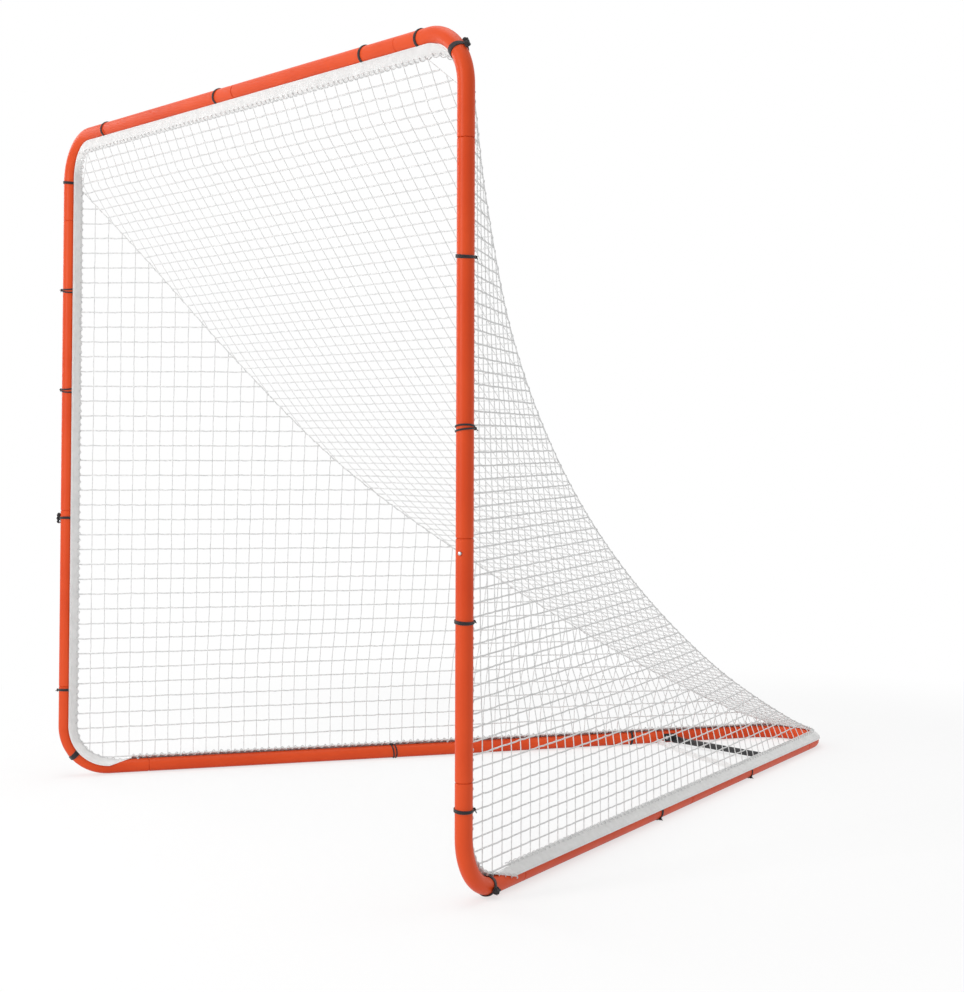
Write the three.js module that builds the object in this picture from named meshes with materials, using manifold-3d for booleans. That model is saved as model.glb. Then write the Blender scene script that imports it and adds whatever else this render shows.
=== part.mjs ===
// A field lacrosse goal that comes apart for carrying: a closed ring of plug-together steel
// tubes with snap buttons, a net of three panels with a sewn border tape, the laces that tie
// the tape to the tubes, a bolted ground brace and a ground strap.
// Millimetres. The mouth faces -Y, the apex points to +Y, the ground is z = 0 and the goal's
// middle is x = 0. The pieces are placed with the mouth in the plane y = 0, and the whole is
// then moved so that the origin is the middle of its footprint.
import * as THREE from "three";
import { mergeVertices } from "three/addons/utils/BufferGeometryUtils.js";
import Module from "manifold-3d";

const wasm = await Module();
wasm.setup();

// Driving dimensions

const MOUTH_WIDTH = 1829; // clear, between the posts
const MOUTH_HEIGHT = 1829; // clear, from the ground to the crossbar
const GOAL_DEPTH = 2134; // from the posts' centre plane to the rear face of the apex
const GAP = 0.3; // between pieces that touch
const OVERRUN = 4; // how far a cutter passes the face that it cuts

const tube = { diameter: 38.1, wall: 1.6, sides: 16 };
const cornerBend = { radius: 125, legLength: 113, steps: 5 };
const apexBend = { radius: 140, legLength: 60, steps: 8 };
const plug = { length: 55, fit: 0.55, swage: 3 }; // the swaged end that enters the next tube
const joints = { postShare: 0.4145, railShare: 0.4658 }; // mid joints, from a foot corner

const clip = {
  buttonDiameter: 8,
  buttonProud: 4,
  buttonCrown: 1.2,
  buttonSides: 12,
  holeClearance: 0.3,
  inset: 30, // from the joint's seam to the button
  travel: 6,
  leafWidth: 8,
  leafThickness: 0.8,
  leafLength: 24,
  leafHeel: 6,
  leafBend: 2.5,
  leafRise: 1.2,
  backLeafShort: 4,
};

const lace = {
  width: 6,
  thickness: 2,
  squeezed: 0.7, // thickness where a rail stands on it
  pairWidth: 14,
  groove: 2,
  grooveDepth: 1,
  bendEase: 1.5, // extra room inside a lashing round a bend
  knotLength: 9,
  knotHeight: 7,
  knotSink: 1,
  blockLength: 33, // the one long knot, on the left post
  tailRadius: 1.3,
  tailTip: 0.9,
  tailLength: 15,
  tailSides: 4,
};
const lashing = { width: 15, knotLength: 17, knotHeight: 11, tailLength: 20 };

const tape = {
  width: 33,
  thickness: 1.4,
  hangTop: 8.5, // below the crossbar's axis, where the tape leaves its front
  bendEase: 3,
  handOver: 190, // along a rail, where the mouth tape ends and the rail tape starts
  points: 4,
};
const TAPE_POST_FRONT_DEG = 36; // past the inmost line of the post, towards the mouth
const TAPE_RAIL_TOP_DEG = 70; // up from the outmost line of the rail
const TAPE_FOOT_TOP_DEG = 80; // where the mouth tape's net edge ends, up from a rail's outmost line

const net = {
  meshWidth: 215,
  cordWidth: 5,
  cordThickness: 2.4,
  edgeGap: 0.5, // from the tape's edge to the net's edge cord
  seamGap: 4, // between two panels at their seam
  seamTopDepth: 129, // below the crossbar, where the side seams leave the posts
  cornerArcSteps: 4,
  apexDistance: 283, // along a rail, from the rails' crossing to the seam's lower end
  inwardDepth: 170, // the most that the seam is pulled in from the rail's upright plane
  settleLength: 300, // of rail over which the side panel's foot settles on its tape
  probeLength: 1, // step for the surface's slope
};
const ROW_SHARE = 0.75; // the least height of a row of gaps, as a share of the mesh
const END_SHARE = 0.4; // the least length of the last cord of a row, as a share of the mesh
// The side seam from top to foot: shares of its height, of its reach and of its inward pull.
const seamShares = [
  [1.0, 0.0, 0.0],
  [0.88, 0.079, 0.4],
  [0.7, 0.195, 0.81],
  [0.517, 0.332, 0.97],
  [0.335, 0.521, 1.0],
  [0.154, 0.746, 0.7],
  [0.034, 0.93, 0.235],
  [0.0, 1.0, 0.076],
];
const FOOT_HUG_SHARE = 0.25; // share of the seam's height over which a row leaves the rail's line
const FOOT_HUG_POWER = 4;

const brace = {
  apexDistance: 379, // in front of the apex's rear face
  radius: 9,
  drop: 6, // below the rails' axes
  taper: 60,
  neck: 25,
  flatHalf: 2.2,
  flatHalfHeight: 11,
  tabLength: 44,
  tabHeight: 24,
  tabThickness: 4,
  boltAside: 12, // from the tab's middle towards the mouth
  barAside: 9, // and from its middle rearwards to the bar
  sides: 12,
};
const bolt = { shank: 6, length: 22, head: 12, headHeight: 5, sides: 12, hole: 7 };
const strap = {
  height: 16,
  thickness: 1.5,
  leftApexDistance: 422,
  rightApexDistance: 569,
  bowDepth: 22,
  steps: 8,
};

// Where the laces are, by eye: a share of a post's height, of the crossbar's length from its
// right end or of a rail's length from its foot corner, or a distance in front of the middle
// joint or of the brace. The last value turns the knot round the tube from its outmost line,
// in degrees.
const rightPostLaces = [
  { share: 0.735, knot: 75 },
  { share: 0.5395, knot: 75, pair: true },
  { share: 0.3205, knot: 80 },
  { share: 0.109, knot: 70 },
];
const leftPostLaces = [
  { share: 0.931, knot: 75 },
  { share: 0.7615, knot: -50, pair: true },
  { share: 0.6045, knot: -45, pair: true },
  { jointDistance: 22, knot: -50, block: true },
  { share: 0.134, knot: -48 },
];
const barLaces = [
  { share: 0.085, knot: 75 },
  { share: 0.1985, knot: 70 },
  { share: 0.546, knot: 78 },
  { share: 0.8775, knot: 72 },
];
const leftRailLaces = [
  { share: 0.3855, knot: -48, pair: true },
  { braceDistance: 128, knot: -48 },
];
const rightRailLaces = [
  { share: 0.3855, knot: -48, pair: true },
  { braceDistance: 268, knot: -48 },
];
const topRightLashing = { bendShare: 0.42, knot: 15 }; // share of the bend, from its start
const rightFootLashing = { bendShare: 0.13, knot: 75 };
const leftFootLashing = { bendShare: 0.44, knot: 60 };

// Sizes that follow from these

const R = tube.diameter / 2;
const CORNER_OF_FACE = 1 / Math.cos(Math.PI / tube.sides); // corner radius per unit of flat radius
const BORE = R - tube.wall;
const plugRadius = BORE - plug.fit;
const plugBore = plugRadius - tube.wall;
const RAIL_LIFT = lace.squeezed + GAP; // the rails stand on the laces under them
const RAIL_Z = RAIL_LIFT + R;
const POST_X = (MOUTH_WIDTH + tube.diameter) / 2;
const BAR_Z = MOUTH_HEIGHT + R;
const laceInner = R + GAP;
const laceOuter = laceInner + lace.thickness;
const tapeFlat = laceOuter * CORNER_OF_FACE + GAP; // the tape lies on the laces
const tapeSpan = tape.width / tapeFlat;
const tapeInner = tapeFlat / Math.cos(tapeSpan / (tape.points - 1) / 2);
const tapeOuter = tapeInner + tape.thickness;
const tapeSpanDeg = THREE.MathUtils.radToDeg(tapeSpan);
const UP = new THREE.Vector3(0, 0, 1);
const BACK = new THREE.Vector3(0, 1, 0);
const RIGHT = new THREE.Vector3(1, 0, 0);
const STRAIGHT_CORNER = 0.05; // sine of the turn below which two sides of a cell count as one line
const radians = THREE.MathUtils.degToRad;

// The point where the two rails' axes would cross. The apex bend rounds that corner off, and
// its rear face is GOAL_DEPTH behind the mouth.
const cut = (2 * apexBend.radius) / (2 * POST_X);
const toBendAxis = GOAL_DEPTH - apexBend.radius - R;
const apexY =
  (toBendAxis +
    Math.sqrt(
      toBendAxis ** 2 - (1 - cut ** 2) * (toBendAxis ** 2 - (cut * POST_X) ** 2),
    )) /
  (1 - cut ** 2);

const apex = new THREE.Vector3(0, apexY, RAIL_Z);
const rightFoot = new THREE.Vector3(POST_X, 0, RAIL_Z);
const rightTop = new THREE.Vector3(POST_X, 0, BAR_Z);
const leftTop = new THREE.Vector3(-POST_X, 0, BAR_Z);
const leftFoot = new THREE.Vector3(-POST_X, 0, RAIL_Z);
const railLength = rightFoot.distanceTo(apex);
const postJoint = joints.postShare * BAR_Z;
const railJoint = joints.railShare * railLength;
const toward = (from, to) => to.clone().sub(from).normalize();
const leftRailWay = toward(leftFoot, apex);
const rightRailWay = toward(apex, rightFoot);
const LEFT_WAY = RIGHT.clone().negate();
const DOWN = UP.clone().negate();

// Centre-lines. Each gives, at a distance s from its start, a point and three directions:
// along the tube, out of the ring of tubes, and back, which is out x back = along.

function straightLine(start, along, length, back) {
  const out = back.clone().cross(along);
  const at = (s) => ({ point: start.clone().addScaledVector(along, s), along, out, back });
  return { length, stops: [0, length], at };
}

function bentLine(corner, arriving, leaving, { radius, legLength, steps }) {
  const turn = arriving.angleTo(leaving);
  const firstOut = leaving.clone().negate().projectOnPlane(arriving).normalize();
  const back = arriving.clone().cross(firstOut);
  const reach = radius * Math.tan(turn / 2);
  const centre = corner
    .clone()
    .addScaledVector(arriving, -reach)
    .addScaledVector(firstOut, -radius);
  const arc = radius * turn;
  const length = arc + 2 * legLength;
  const at = (s) => {
    const onArc = THREE.MathUtils.clamp(s - legLength, 0, arc);
    const out = firstOut.clone().applyAxisAngle(back, -onArc / radius);
    const along = out.clone().cross(back);
    const point = centre
      .clone()
      .addScaledVector(out, radius)
      .addScaledVector(along, s - legLength - onArc);
    return { point, along, out, back };
  };
  const arcStops = Array.from({ length: steps + 1 }, (_, i) => legLength + (arc * i) / steps);
  return { length, stops: [0, ...arcStops, length], at, arc, legLength, reach };
}

const rightTopBend = bentLine(rightTop, UP, LEFT_WAY, cornerBend);
const leftTopBend = bentLine(leftTop, LEFT_WAY, DOWN, cornerBend);
const leftFootBend = bentLine(leftFoot, DOWN, leftRailWay, cornerBend);
const rightFootBend = bentLine(rightFoot, rightRailWay, UP, cornerBend);
const rearBend = bentLine(apex, leftRailWay, rightRailWay, apexBend);
const cornerLeg = rightTopBend.reach + cornerBend.legLength; // from a corner to the bend's seam
const apexLeg = rearBend.reach + apexBend.legLength;

const alongPost = (corner, way, from, to) =>
  straightLine(corner.clone().setZ(from), way, Math.abs(to - from), BACK);
const alongRail = (start, way, from, to) =>
  straightLine(start.clone().addScaledVector(way, from), way, to - from, UP);

const postTop = BAR_Z - cornerLeg;
const postFoot = RAIL_Z + cornerLeg;
const barEnd = POST_X - cornerLeg;
const lines = {
  lowerRightPost: alongPost(rightFoot, UP, postFoot, postJoint),
  upperRightPost: alongPost(rightFoot, UP, postJoint, postTop),
  rightBar: straightLine(new THREE.Vector3(barEnd, 0, BAR_Z), LEFT_WAY, barEnd, BACK),
  leftBar: straightLine(new THREE.Vector3(0, 0, BAR_Z), LEFT_WAY, barEnd, BACK),
  upperLeftPost: alongPost(leftFoot, DOWN, postTop, postJoint),
  lowerLeftPost: alongPost(leftFoot, DOWN, postJoint, postFoot),
  leftRailFront: alongRail(leftFoot, leftRailWay, cornerLeg, railJoint),
  leftRailRear: alongRail(leftFoot, leftRailWay, railJoint, railLength - apexLeg),
  rightRailRear: alongRail(apex, rightRailWay, apexLeg, railLength - railJoint),
  rightRailFront: alongRail(apex, rightRailWay, railLength - railJoint, railLength - cornerLeg),
};

// Solids

// Joins rings of equally many points into a closed skin. The rings close on themselves, or
// the first and last are capped.
function skin(rings, capped) {
  const count = rings[0].length;
  const positions = rings.flat().flatMap((p) => p.toArray());
  const faces = [];
  const links = capped ? rings.length - 1 : rings.length;
  for (let i = 0; i < links; i++) {
    const a = i * count;
    const b = ((i + 1) % rings.length) * count;
    for (let k = 0; k < count; k++) {
      const next = (k + 1) % count;
      faces.push(a + k, a + next, b + next, a + k, b + next, b + k);
    }
  }
  if (capped) {
    const last = (rings.length - 1) * count;
    for (let k = 1; k < count - 1; k++) {
      faces.push(0, k + 1, k, last, last + k, last + k + 1);
    }
  }
  return outward(positions, faces);
}

// A geometry from flat lists, turned so that its faces point out.
function outward(positions, faces) {
  const geometry = new THREE.BufferGeometry();
  geometry.setAttribute("position", new THREE.Float32BufferAttribute(positions, 3));
  const corner = (i) => new THREE.Vector3().fromArray(positions, 3 * faces[i]);
  let volume = 0;
  for (let i = 0; i < faces.length; i += 3) {
    volume += corner(i).dot(corner(i + 1).cross(corner(i + 2)));
  }
  const turnedRound = faces.map((_, i) => faces[i + [0, 1, -1][i % 3]]);
  geometry.setIndex(volume < 0 ? turnedRound : faces);
  return geometry;
}

function solid(geometry) {
  const bare = geometry.clone();
  bare.deleteAttribute("normal");
  bare.deleteAttribute("uv");
  const merged = mergeVertices(bare);
  return new wasm.Manifold(
    new wasm.Mesh({
      numProp: 3,
      vertProperties: merged.attributes.position.array,
      triVerts: new Uint32Array(merged.index.array),
    }),
  );
}

function geometryOf(manifold) {
  const { vertProperties, triVerts } = manifold.getMesh();
  const geometry = new THREE.BufferGeometry();
  geometry.setAttribute("position", new THREE.Float32BufferAttribute(vertProperties, 3));
  geometry.setIndex([...triVerts]);
  return geometry;
}

const join = (...geometries) =>
  geometryOf(geometries.map(solid).reduce((whole, piece) => whole.add(piece)));

// The direction at an angle round a tube, from its outmost line towards its back.
const roundTube = (frame, degrees) =>
  frame.out
    .clone()
    .multiplyScalar(Math.cos(radians(degrees)))
    .addScaledVector(frame.back, Math.sin(radians(degrees)));

// A ring of the tube's own facets, whose flats lie at the given radius.
function facetRing(frame, flatRadius) {
  const step = 360 / tube.sides;
  return Array.from({ length: tube.sides }, (_, k) =>
    frame.point
      .clone()
      .addScaledVector(roundTube(frame, (k + 0.5) * step), flatRadius * CORNER_OF_FACE),
  );
}

// A cylinder along a direction, from its base point.
function rod(base, direction, radius, length, sides) {
  const geometry = new THREE.CylinderGeometry(radius, radius, length, sides);
  geometry.translate(0, length / 2, 0);
  geometry.applyQuaternion(new THREE.Quaternion().setFromUnitVectors(BACK, direction));
  return geometry.translate(...base.toArray());
}

// A turned piece along +Y: stations of height and radius.
function turned(stations, sides) {
  const ringAt = ([height, radius]) =>
    Array.from({ length: sides }, (_, k) => {
      const angle = (2 * Math.PI * k) / sides;
      return new THREE.Vector3(radius * Math.cos(angle), height, radius * Math.sin(angle));
    });
  return skin(stations.map(ringAt), true);
}

// Tubes

// One tube of the ring. Each end is a plain socket or a swaged plug. Each hole is a drill:
// a point on the tube's axis, a direction and a radius.
function tubeGeometry({ line, startPlug, endPlug }, holes) {
  const start = GAP / 2;
  const end = line.length - GAP / 2;
  const middle = line.stops.slice(1, -1);
  const profile = (body, nose) => [
    ...(startPlug
      ? [
          [start - plug.length, nose],
          [start, nose],
          [start + plug.swage, body],
        ]
      : [[start, body]]),
    ...middle.map((s) => [s, body]),
    ...(endPlug
      ? [
          [end - plug.swage, body],
          [end, nose],
          [end + plug.length, nose],
        ]
      : [[end, body]]),
  ];
  const outside = profile(R, plugRadius);
  const inside = profile(BORE, plugBore).reverse();
  const rings = [...outside, ...inside].map(([s, radius]) => facetRing(line.at(s), radius));
  const whole = solid(skin(rings, false));
  const pierced = holes.reduce(
    (left, { point, direction, radius }) =>
      left.subtract(solid(rod(point, direction, radius, R + OVERRUN, clip.buttonSides))),
    whole,
  );
  return geometryOf(pierced);
}

// The ring of tubes, from the right foot up, across, down and round the ground frame. Each
// seam entry tells where the button after that tube looks, as degrees round the tube.
const REARWARD = 90;
const UPWARD = 90;
const INWARD = 180;
const MID_POST = -67.5; // the posts' middle buttons look almost straight out of the mouth
const tubes = [
  { name: "bottom_right_elbow", line: rightFootBend },
  { name: "lower_right_post", line: lines.lowerRightPost, startPlug: true },
  { name: "upper_right_post", line: lines.upperRightPost, startPlug: true, endPlug: true },
  { name: "top_right_elbow", line: rightTopBend },
  { name: "crossbar_right", line: lines.rightBar, startPlug: true, endPlug: true },
  { name: "crossbar_left", line: lines.leftBar, endPlug: true },
  { name: "top_left_elbow", line: leftTopBend },
  { name: "upper_left_post", line: lines.upperLeftPost, startPlug: true, endPlug: true },
  { name: "lower_left_post", line: lines.lowerLeftPost, endPlug: true },
  { name: "bottom_left_elbow", line: leftFootBend },
  { name: "left_rail_front", line: lines.leftRailFront, startPlug: true },
  { name: "left_rail_rear", line: lines.leftRailRear, startPlug: true, endPlug: true },
  { name: "rear_apex_bend", line: rearBend },
  { name: "right_rail_rear", line: lines.rightRailRear, startPlug: true, endPlug: true },
  { name: "right_rail_front", line: lines.rightRailFront, endPlug: true },
];
const seams = [
  { name: "bottom_right_post", degrees: REARWARD },
  { name: "middle_right_post", degrees: MID_POST },
  { name: "top_right_post", degrees: REARWARD },
  { name: "right_crossbar", degrees: REARWARD },
  { name: "middle_crossbar", degrees: REARWARD },
  { name: "left_crossbar", degrees: REARWARD },
  { name: "top_left_post", degrees: REARWARD },
  { name: "middle_left_post", degrees: MID_POST },
  { name: "bottom_left_post", degrees: REARWARD },
  { name: "front_left_rail", degrees: UPWARD },
  { name: "middle_left_rail", degrees: UPWARD },
  { name: "rear_left_rail", degrees: UPWARD },
  { name: "rear_right_rail", degrees: UPWARD },
  { name: "middle_right_rail", degrees: UPWARD },
  { name: "front_right_rail", degrees: UPWARD },
];

// Where each seam's clip sits: on the axis of the plug, its button's direction, and the way
// from the button into the plug's own tube.
const clipPlaces = seams.map(({ name, degrees }, i) => {
  const before = tubes[i];
  const after = tubes[(i + 1) % tubes.length];
  const plugEndsBefore = Boolean(before.endPlug);
  const { line } = plugEndsBefore ? before : after;
  const frame = line.at(plugEndsBefore ? line.length + clip.inset : -clip.inset);
  const inTube = plugEndsBefore ? frame.along.clone().negate() : frame.along;
  const direction = roundTube(frame, degrees);
  return { name, point: frame.point, direction, inTube, tubeNames: [before.name, after.name] };
});

const buttonRadius = clip.buttonDiameter / 2;
const buttonDrills = clipPlaces.map(({ point, direction, tubeNames }) => ({
  point,
  direction,
  tubeNames,
  radius: buttonRadius + clip.holeClearance,
}));

// The brace's bolts go through the inner walls of the rear rails.
const braceAlongRail = (GOAL_DEPTH - brace.apexDistance) / leftRailWay.y;
const boltPlaces = [
  { name: "left", tubeNames: ["left_rail_rear"], at: braceAlongRail - railJoint },
  {
    name: "right",
    tubeNames: ["right_rail_rear"],
    at: railLength - apexLeg - braceAlongRail,
  },
].map(({ name, tubeNames, at }) => {
  const { line } = tubes.find((one) => one.name === tubeNames[0]);
  const frame = line.at(at);
  const rearward = frame.along.y > 0 ? 1 : -1;
  const { point } = line.at(at - rearward * brace.boltAside);
  return { name, frame, rearward, point, direction: roundTube(frame, INWARD), tubeNames };
});
const boltDrills = boltPlaces.map((place) => ({ ...place, radius: bolt.hole / 2 }));

const steel = new THREE.MeshStandardMaterial({ color: 0xe0512f, roughness: 0.32, metalness: 0.1 });
const zinc = new THREE.MeshStandardMaterial({ color: 0xb9bcc0, roughness: 0.35, metalness: 0.9 });
const blackCord = new THREE.MeshStandardMaterial({ color: 0x17171a, roughness: 0.85 });
const webbing = new THREE.MeshStandardMaterial({ color: 0xf4f4f2, roughness: 0.8 });
const whiteCord = new THREE.MeshStandardMaterial({ color: 0xf7f7f5, roughness: 0.75 });
const blackSteel = new THREE.MeshStandardMaterial({ color: 0x1c1c1e, roughness: 0.45 });

const goal = new THREE.Group();
function add(name, geometry, material) {
  geometry.computeVertexNormals();
  const mesh = new THREE.Mesh(geometry, material);
  mesh.name = name;
  goal.add(mesh);
  return mesh;
}

for (const one of tubes) {
  const drills = [...buttonDrills, ...boltDrills].filter((hole) =>
    hole.tubeNames.includes(one.name),
  );
  add(one.name, tubeGeometry(one, drills), steel);
}

// Snap clips

// A clip about its tube's axis: X runs into the plug's own tube and Y is the button's way.
// The upper leaf lies under the bore's wall, and the back leaf leaves room for the travel.
function clipGeometry() {
  const halfWidth = clip.leafWidth / 2;
  const top = Math.sqrt((plugBore - GAP) ** 2 - halfWidth ** 2);
  const backEnd = clip.travel + GAP - top;
  const outline = new THREE.Shape([
    new THREE.Vector2(-clip.leafHeel, top),
    new THREE.Vector2(clip.leafLength, top),
    new THREE.Vector2(clip.leafLength + clip.leafBend, top - clip.leafRise),
    new THREE.Vector2(-clip.backLeafShort, backEnd),
    new THREE.Vector2(-clip.backLeafShort, backEnd + clip.leafThickness),
    new THREE.Vector2(clip.leafLength - clip.leafThickness, top - clip.leafThickness),
    new THREE.Vector2(-clip.leafHeel, top - clip.leafThickness),
  ]);
  const leaf = new THREE.ExtrudeGeometry(outline, { depth: clip.leafWidth, bevelEnabled: false });
  leaf.translate(0, 0, -halfWidth);
  const tip = R + clip.buttonProud;
  const button = turned(
    [
      [top - clip.leafThickness, buttonRadius],
      [tip - clip.buttonCrown, buttonRadius],
      [tip, buttonRadius - clip.buttonCrown],
    ],
    clip.buttonSides,
  );
  return join(leaf, button);
}

const oneClip = clipGeometry();
for (const { name, point, direction, inTube } of clipPlaces) {
  const mesh = add(`snap_clip_${name}`, oneClip.clone(), zinc);
  const side = inTube.clone().cross(direction);
  mesh.position.copy(point);
  mesh.quaternion.setFromRotationMatrix(new THREE.Matrix4().makeBasis(inTube, direction, side));
}

// Laces

// A lace round a tube, in the frame of its place: a band with a knot and two tails. A pair is
// two turns side by side, with a groove between them.
function laceGeometry(frame, { knot, pair, block }, size = lace, ease = 0) {
  const width = pair ? lace.pairWidth : size.width;
  const inner = (laceInner + ease) * CORNER_OF_FACE;
  const outer = (laceOuter + ease) * CORNER_OF_FACE;
  const half = width / 2;
  const grooved = [
    [outer, -lace.groove / 2],
    [outer - lace.grooveDepth, 0],
    [outer, lace.groove / 2],
  ];
  const section = [
    [inner, -half],
    [outer, -half],
    ...(pair || size === lashing ? grooved : []),
    [outer, half],
    [inner, half],
  ];
  const spot = (degrees, radius, z) =>
    frame.point
      .clone()
      .addScaledVector(roundTube(frame, degrees), radius)
      .addScaledVector(frame.along, z);
  const step = 360 / tube.sides;
  const rings = Array.from({ length: tube.sides }, (_, k) =>
    section.map(([radius, z]) => spot((k + 0.5) * step, radius, z)),
  );

  const outwards = roundTube(frame, knot);
  const across = frame.along.clone().cross(outwards);
  const knotAt = spot(knot, laceOuter + ease - lace.knotSink + size.knotHeight / 2, 0);
  const lump = new THREE.IcosahedronGeometry(1, 0);
  const knotWidth = block ? lace.blockLength : width + lace.thickness;
  lump.scale(size.knotHeight / 2, size.knotLength / 2, knotWidth / 2);
  lump.applyMatrix4(new THREE.Matrix4().makeBasis(outwards, across, frame.along));
  lump.translate(...knotAt.toArray());
  const tails = [1, -1].map((sign) => {
    const way = outwards
      .clone()
      .addScaledVector(across, sign)
      .addScaledVector(frame.along, sign / 2)
      .normalize();
    const taper = [
      [0, lace.tailRadius],
      [size.tailLength, lace.tailTip],
    ];
    const tail = turned(taper, lace.tailSides);
    tail.applyQuaternion(new THREE.Quaternion().setFromUnitVectors(BACK, way));
    return tail.translate(...knotAt.toArray());
  });
  return aboveGround(join(skin(rings, false), lump, ...tails));
}

// Presses flat on the ground whatever reaches below it.
function aboveGround(geometry) {
  const { position } = geometry.attributes;
  for (let i = 0; i < position.count; i++) {
    position.setZ(i, Math.max(position.getZ(i), 0));
  }
  return geometry;
}

const rightPostRun = straightLine(rightFoot.clone().setZ(0), UP, BAR_Z, BACK);
const leftPostRun = straightLine(leftTop, DOWN, BAR_Z, BACK);
const barRun = straightLine(rightTop, LEFT_WAY, 2 * POST_X, BACK);
const leftRailRun = straightLine(leftFoot, leftRailWay, railLength, UP);
const rightRailRun = straightLine(apex, rightRailWay, railLength, UP);

const onPost = ({ share, jointDistance }) =>
  jointDistance ? postJoint - jointDistance : share * BAR_Z;
const onRail = ({ share, braceDistance }) =>
  braceDistance ? braceAlongRail - braceDistance : share * railLength;
const laceRuns = [
  ["right_post", rightPostLaces, (one) => rightPostRun.at(onPost(one))],
  ["left_post", leftPostLaces, (one) => leftPostRun.at(BAR_Z - onPost(one))],
  ["crossbar", barLaces, ({ share }) => barRun.at(2 * POST_X * share)],
  ["left_rail", leftRailLaces, (one) => leftRailRun.at(onRail(one))],
  ["right_rail", rightRailLaces, (one) => rightRailRun.at(railLength - onRail(one))],
];
for (const [place, laces, frameOf] of laceRuns) {
  laces.forEach((one, i) => {
    add(`lace_${place}_${i + 1}`, laceGeometry(frameOf(one), one), blackCord);
  });
}
const lashings = [
  ["lashing_top_right", rightTopBend, topRightLashing],
  ["lashing_right_foot", rightFootBend, rightFootLashing],
  ["lashing_left_foot", leftFootBend, leftFootLashing],
];
for (const [name, line, one] of lashings) {
  const frame = line.at(line.legLength + one.bendShare * line.arc);
  add(name, laceGeometry(frame, one, lashing, lace.bendEase), blackCord);
}

// Border tape

// A strip of tape through sections that each lie round a tube: a section is a list of
// [out, back] pairs at the tape's inner face, from its net edge to its other edge.
function tapeGeometry(stations) {
  const rings = stations.map(({ frame, section }) => {
    const place = ([out, back]) =>
      frame.point.clone().addScaledVector(frame.out, out).addScaledVector(frame.back, back);
    const outerFace = section.map(({ face, normal }) => [
      face[0] + tape.thickness * normal[0],
      face[1] + tape.thickness * normal[1],
    ]);
    return [...section.map(({ face }) => place(face)), ...outerFace.reverse().map(place)];
  });
  return skin(rings, true);
}

const tapeShares = Array.from({ length: tape.points }, (_, i) => i / (tape.points - 1));

// Lies round the tube, from its net edge at one angle to its other edge.
const hugging = (netEdgeDeg, turnDeg, ease = 0) =>
  tapeShares.map((share) => {
    const angle = radians(netEdgeDeg + share * turnDeg);
    const normal = [Math.cos(angle), Math.sin(angle)];
    return { face: normal.map((part) => part * (tapeInner + ease)), normal };
  });

// Hangs straight down in front of the crossbar.
const hanging = tapeShares.map((share) => ({
  face: [-tape.hangTop - (1 - share) * tape.width, -tapeInner],
  normal: [0, -1],
}));

const mix = (a, b, share) => a + (b - a) * share;
const blend = (from, to, share) =>
  from.map((one, i) => {
    const pair = (key) => one[key].map((part, j) => mix(part, to[i][key][j], share));
    return { face: pair("face"), normal: pair("normal") };
  });

const postNetEdgeDeg = INWARD + TAPE_POST_FRONT_DEG - tapeSpanDeg;
const railNetEdgeDeg = TAPE_RAIL_TOP_DEG;

// Stations round a bend, with the section at each share of its arc.
const roundBend = (line, sectionAt) =>
  line.stops.slice(1, -1).map((s) => {
    const share = (s - line.legLength) / line.arc;
    return { frame: line.at(s), section: sectionAt(share, tape.bendEase * Math.sin(Math.PI * share)) };
  });

// The direction to the rail, seen from a post's frame, is turned from straight back by the
// goal's taper, so an angle round the post is this much more round the foot bend.
const footTurnDeg = 90 - THREE.MathUtils.radToDeg(Math.atan2(POST_X, apexY));
const footRailDeg = TAPE_FOOT_TOP_DEG + 90;

function mouthTapeStations() {
  const onPost = hugging(postNetEdgeDeg, tapeSpanDeg);
  const onRail = hugging(TAPE_FOOT_TOP_DEG, tapeSpanDeg);
  const upFoot = (share, ease) =>
    hugging(mix(footRailDeg, postNetEdgeDeg + footTurnDeg, share), tapeSpanDeg, ease);
  const downFoot = (share, ease) => upFoot(1 - share, ease);
  const rise = (share, ease) => blend(hugging(postNetEdgeDeg, tapeSpanDeg, ease), hanging, share);
  const fall = (share, ease) => rise(1 - share, ease);
  return [
    { frame: rightRailRun.at(railLength - tape.handOver), section: onRail },
    ...roundBend(rightFootBend, upFoot),
    { frame: rightPostRun.at(postFoot), section: onPost },
    ...roundBend(rightTopBend, rise),
    ...roundBend(leftTopBend, fall),
    { frame: leftPostRun.at(BAR_Z - postFoot), section: onPost },
    ...roundBend(leftFootBend, downFoot),
    { frame: leftRailRun.at(tape.handOver), section: onRail },
  ];
}

function railTapeStations(railFrameAt, bendFrameAt) {
  const section = hugging(TAPE_RAIL_TOP_DEG - tapeSpanDeg, tapeSpanDeg);
  const halfArc = rearBend.arc / 2 - GAP;
  const steps = Math.ceil(apexBend.steps / 2);
  const toApex = Array.from({ length: steps + 1 }, (_, i) => apexBend.legLength + (halfArc * i) / steps);
  const onRail = [tape.handOver + GAP, railJoint];
  return [
    ...onRail.map((s) => ({ frame: railFrameAt(s), section })),
    ...toApex.map((s) => ({ frame: bendFrameAt(s), section })),
  ];
}

add("mouth_tape", tapeGeometry(mouthTapeStations()), webbing);
const leftTape = railTapeStations(leftRailRun.at, rearBend.at);
const rightTape = railTapeStations(
  (s) => rightRailRun.at(railLength - s),
  (s) => rearBend.at(rearBend.length - s),
);
add("left_rail_tape", tapeGeometry(leftTape), webbing);
add("right_rail_tape", tapeGeometry(rightTape), webbing);

// Net

// A side of the goal: the upright plane of its rail, with the way along the rail from the
// foot corner and the way in towards the goal's middle.
const railSides = {
  right: { foot: rightFoot, way: rightRailWay.clone().negate(), sign: 1 },
  left: { foot: leftFoot, way: leftRailWay, sign: -1 },
};
for (const side of Object.values(railSides)) {
  side.inward = UP.clone().cross(side.way).multiplyScalar(side.sign);
}

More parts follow.
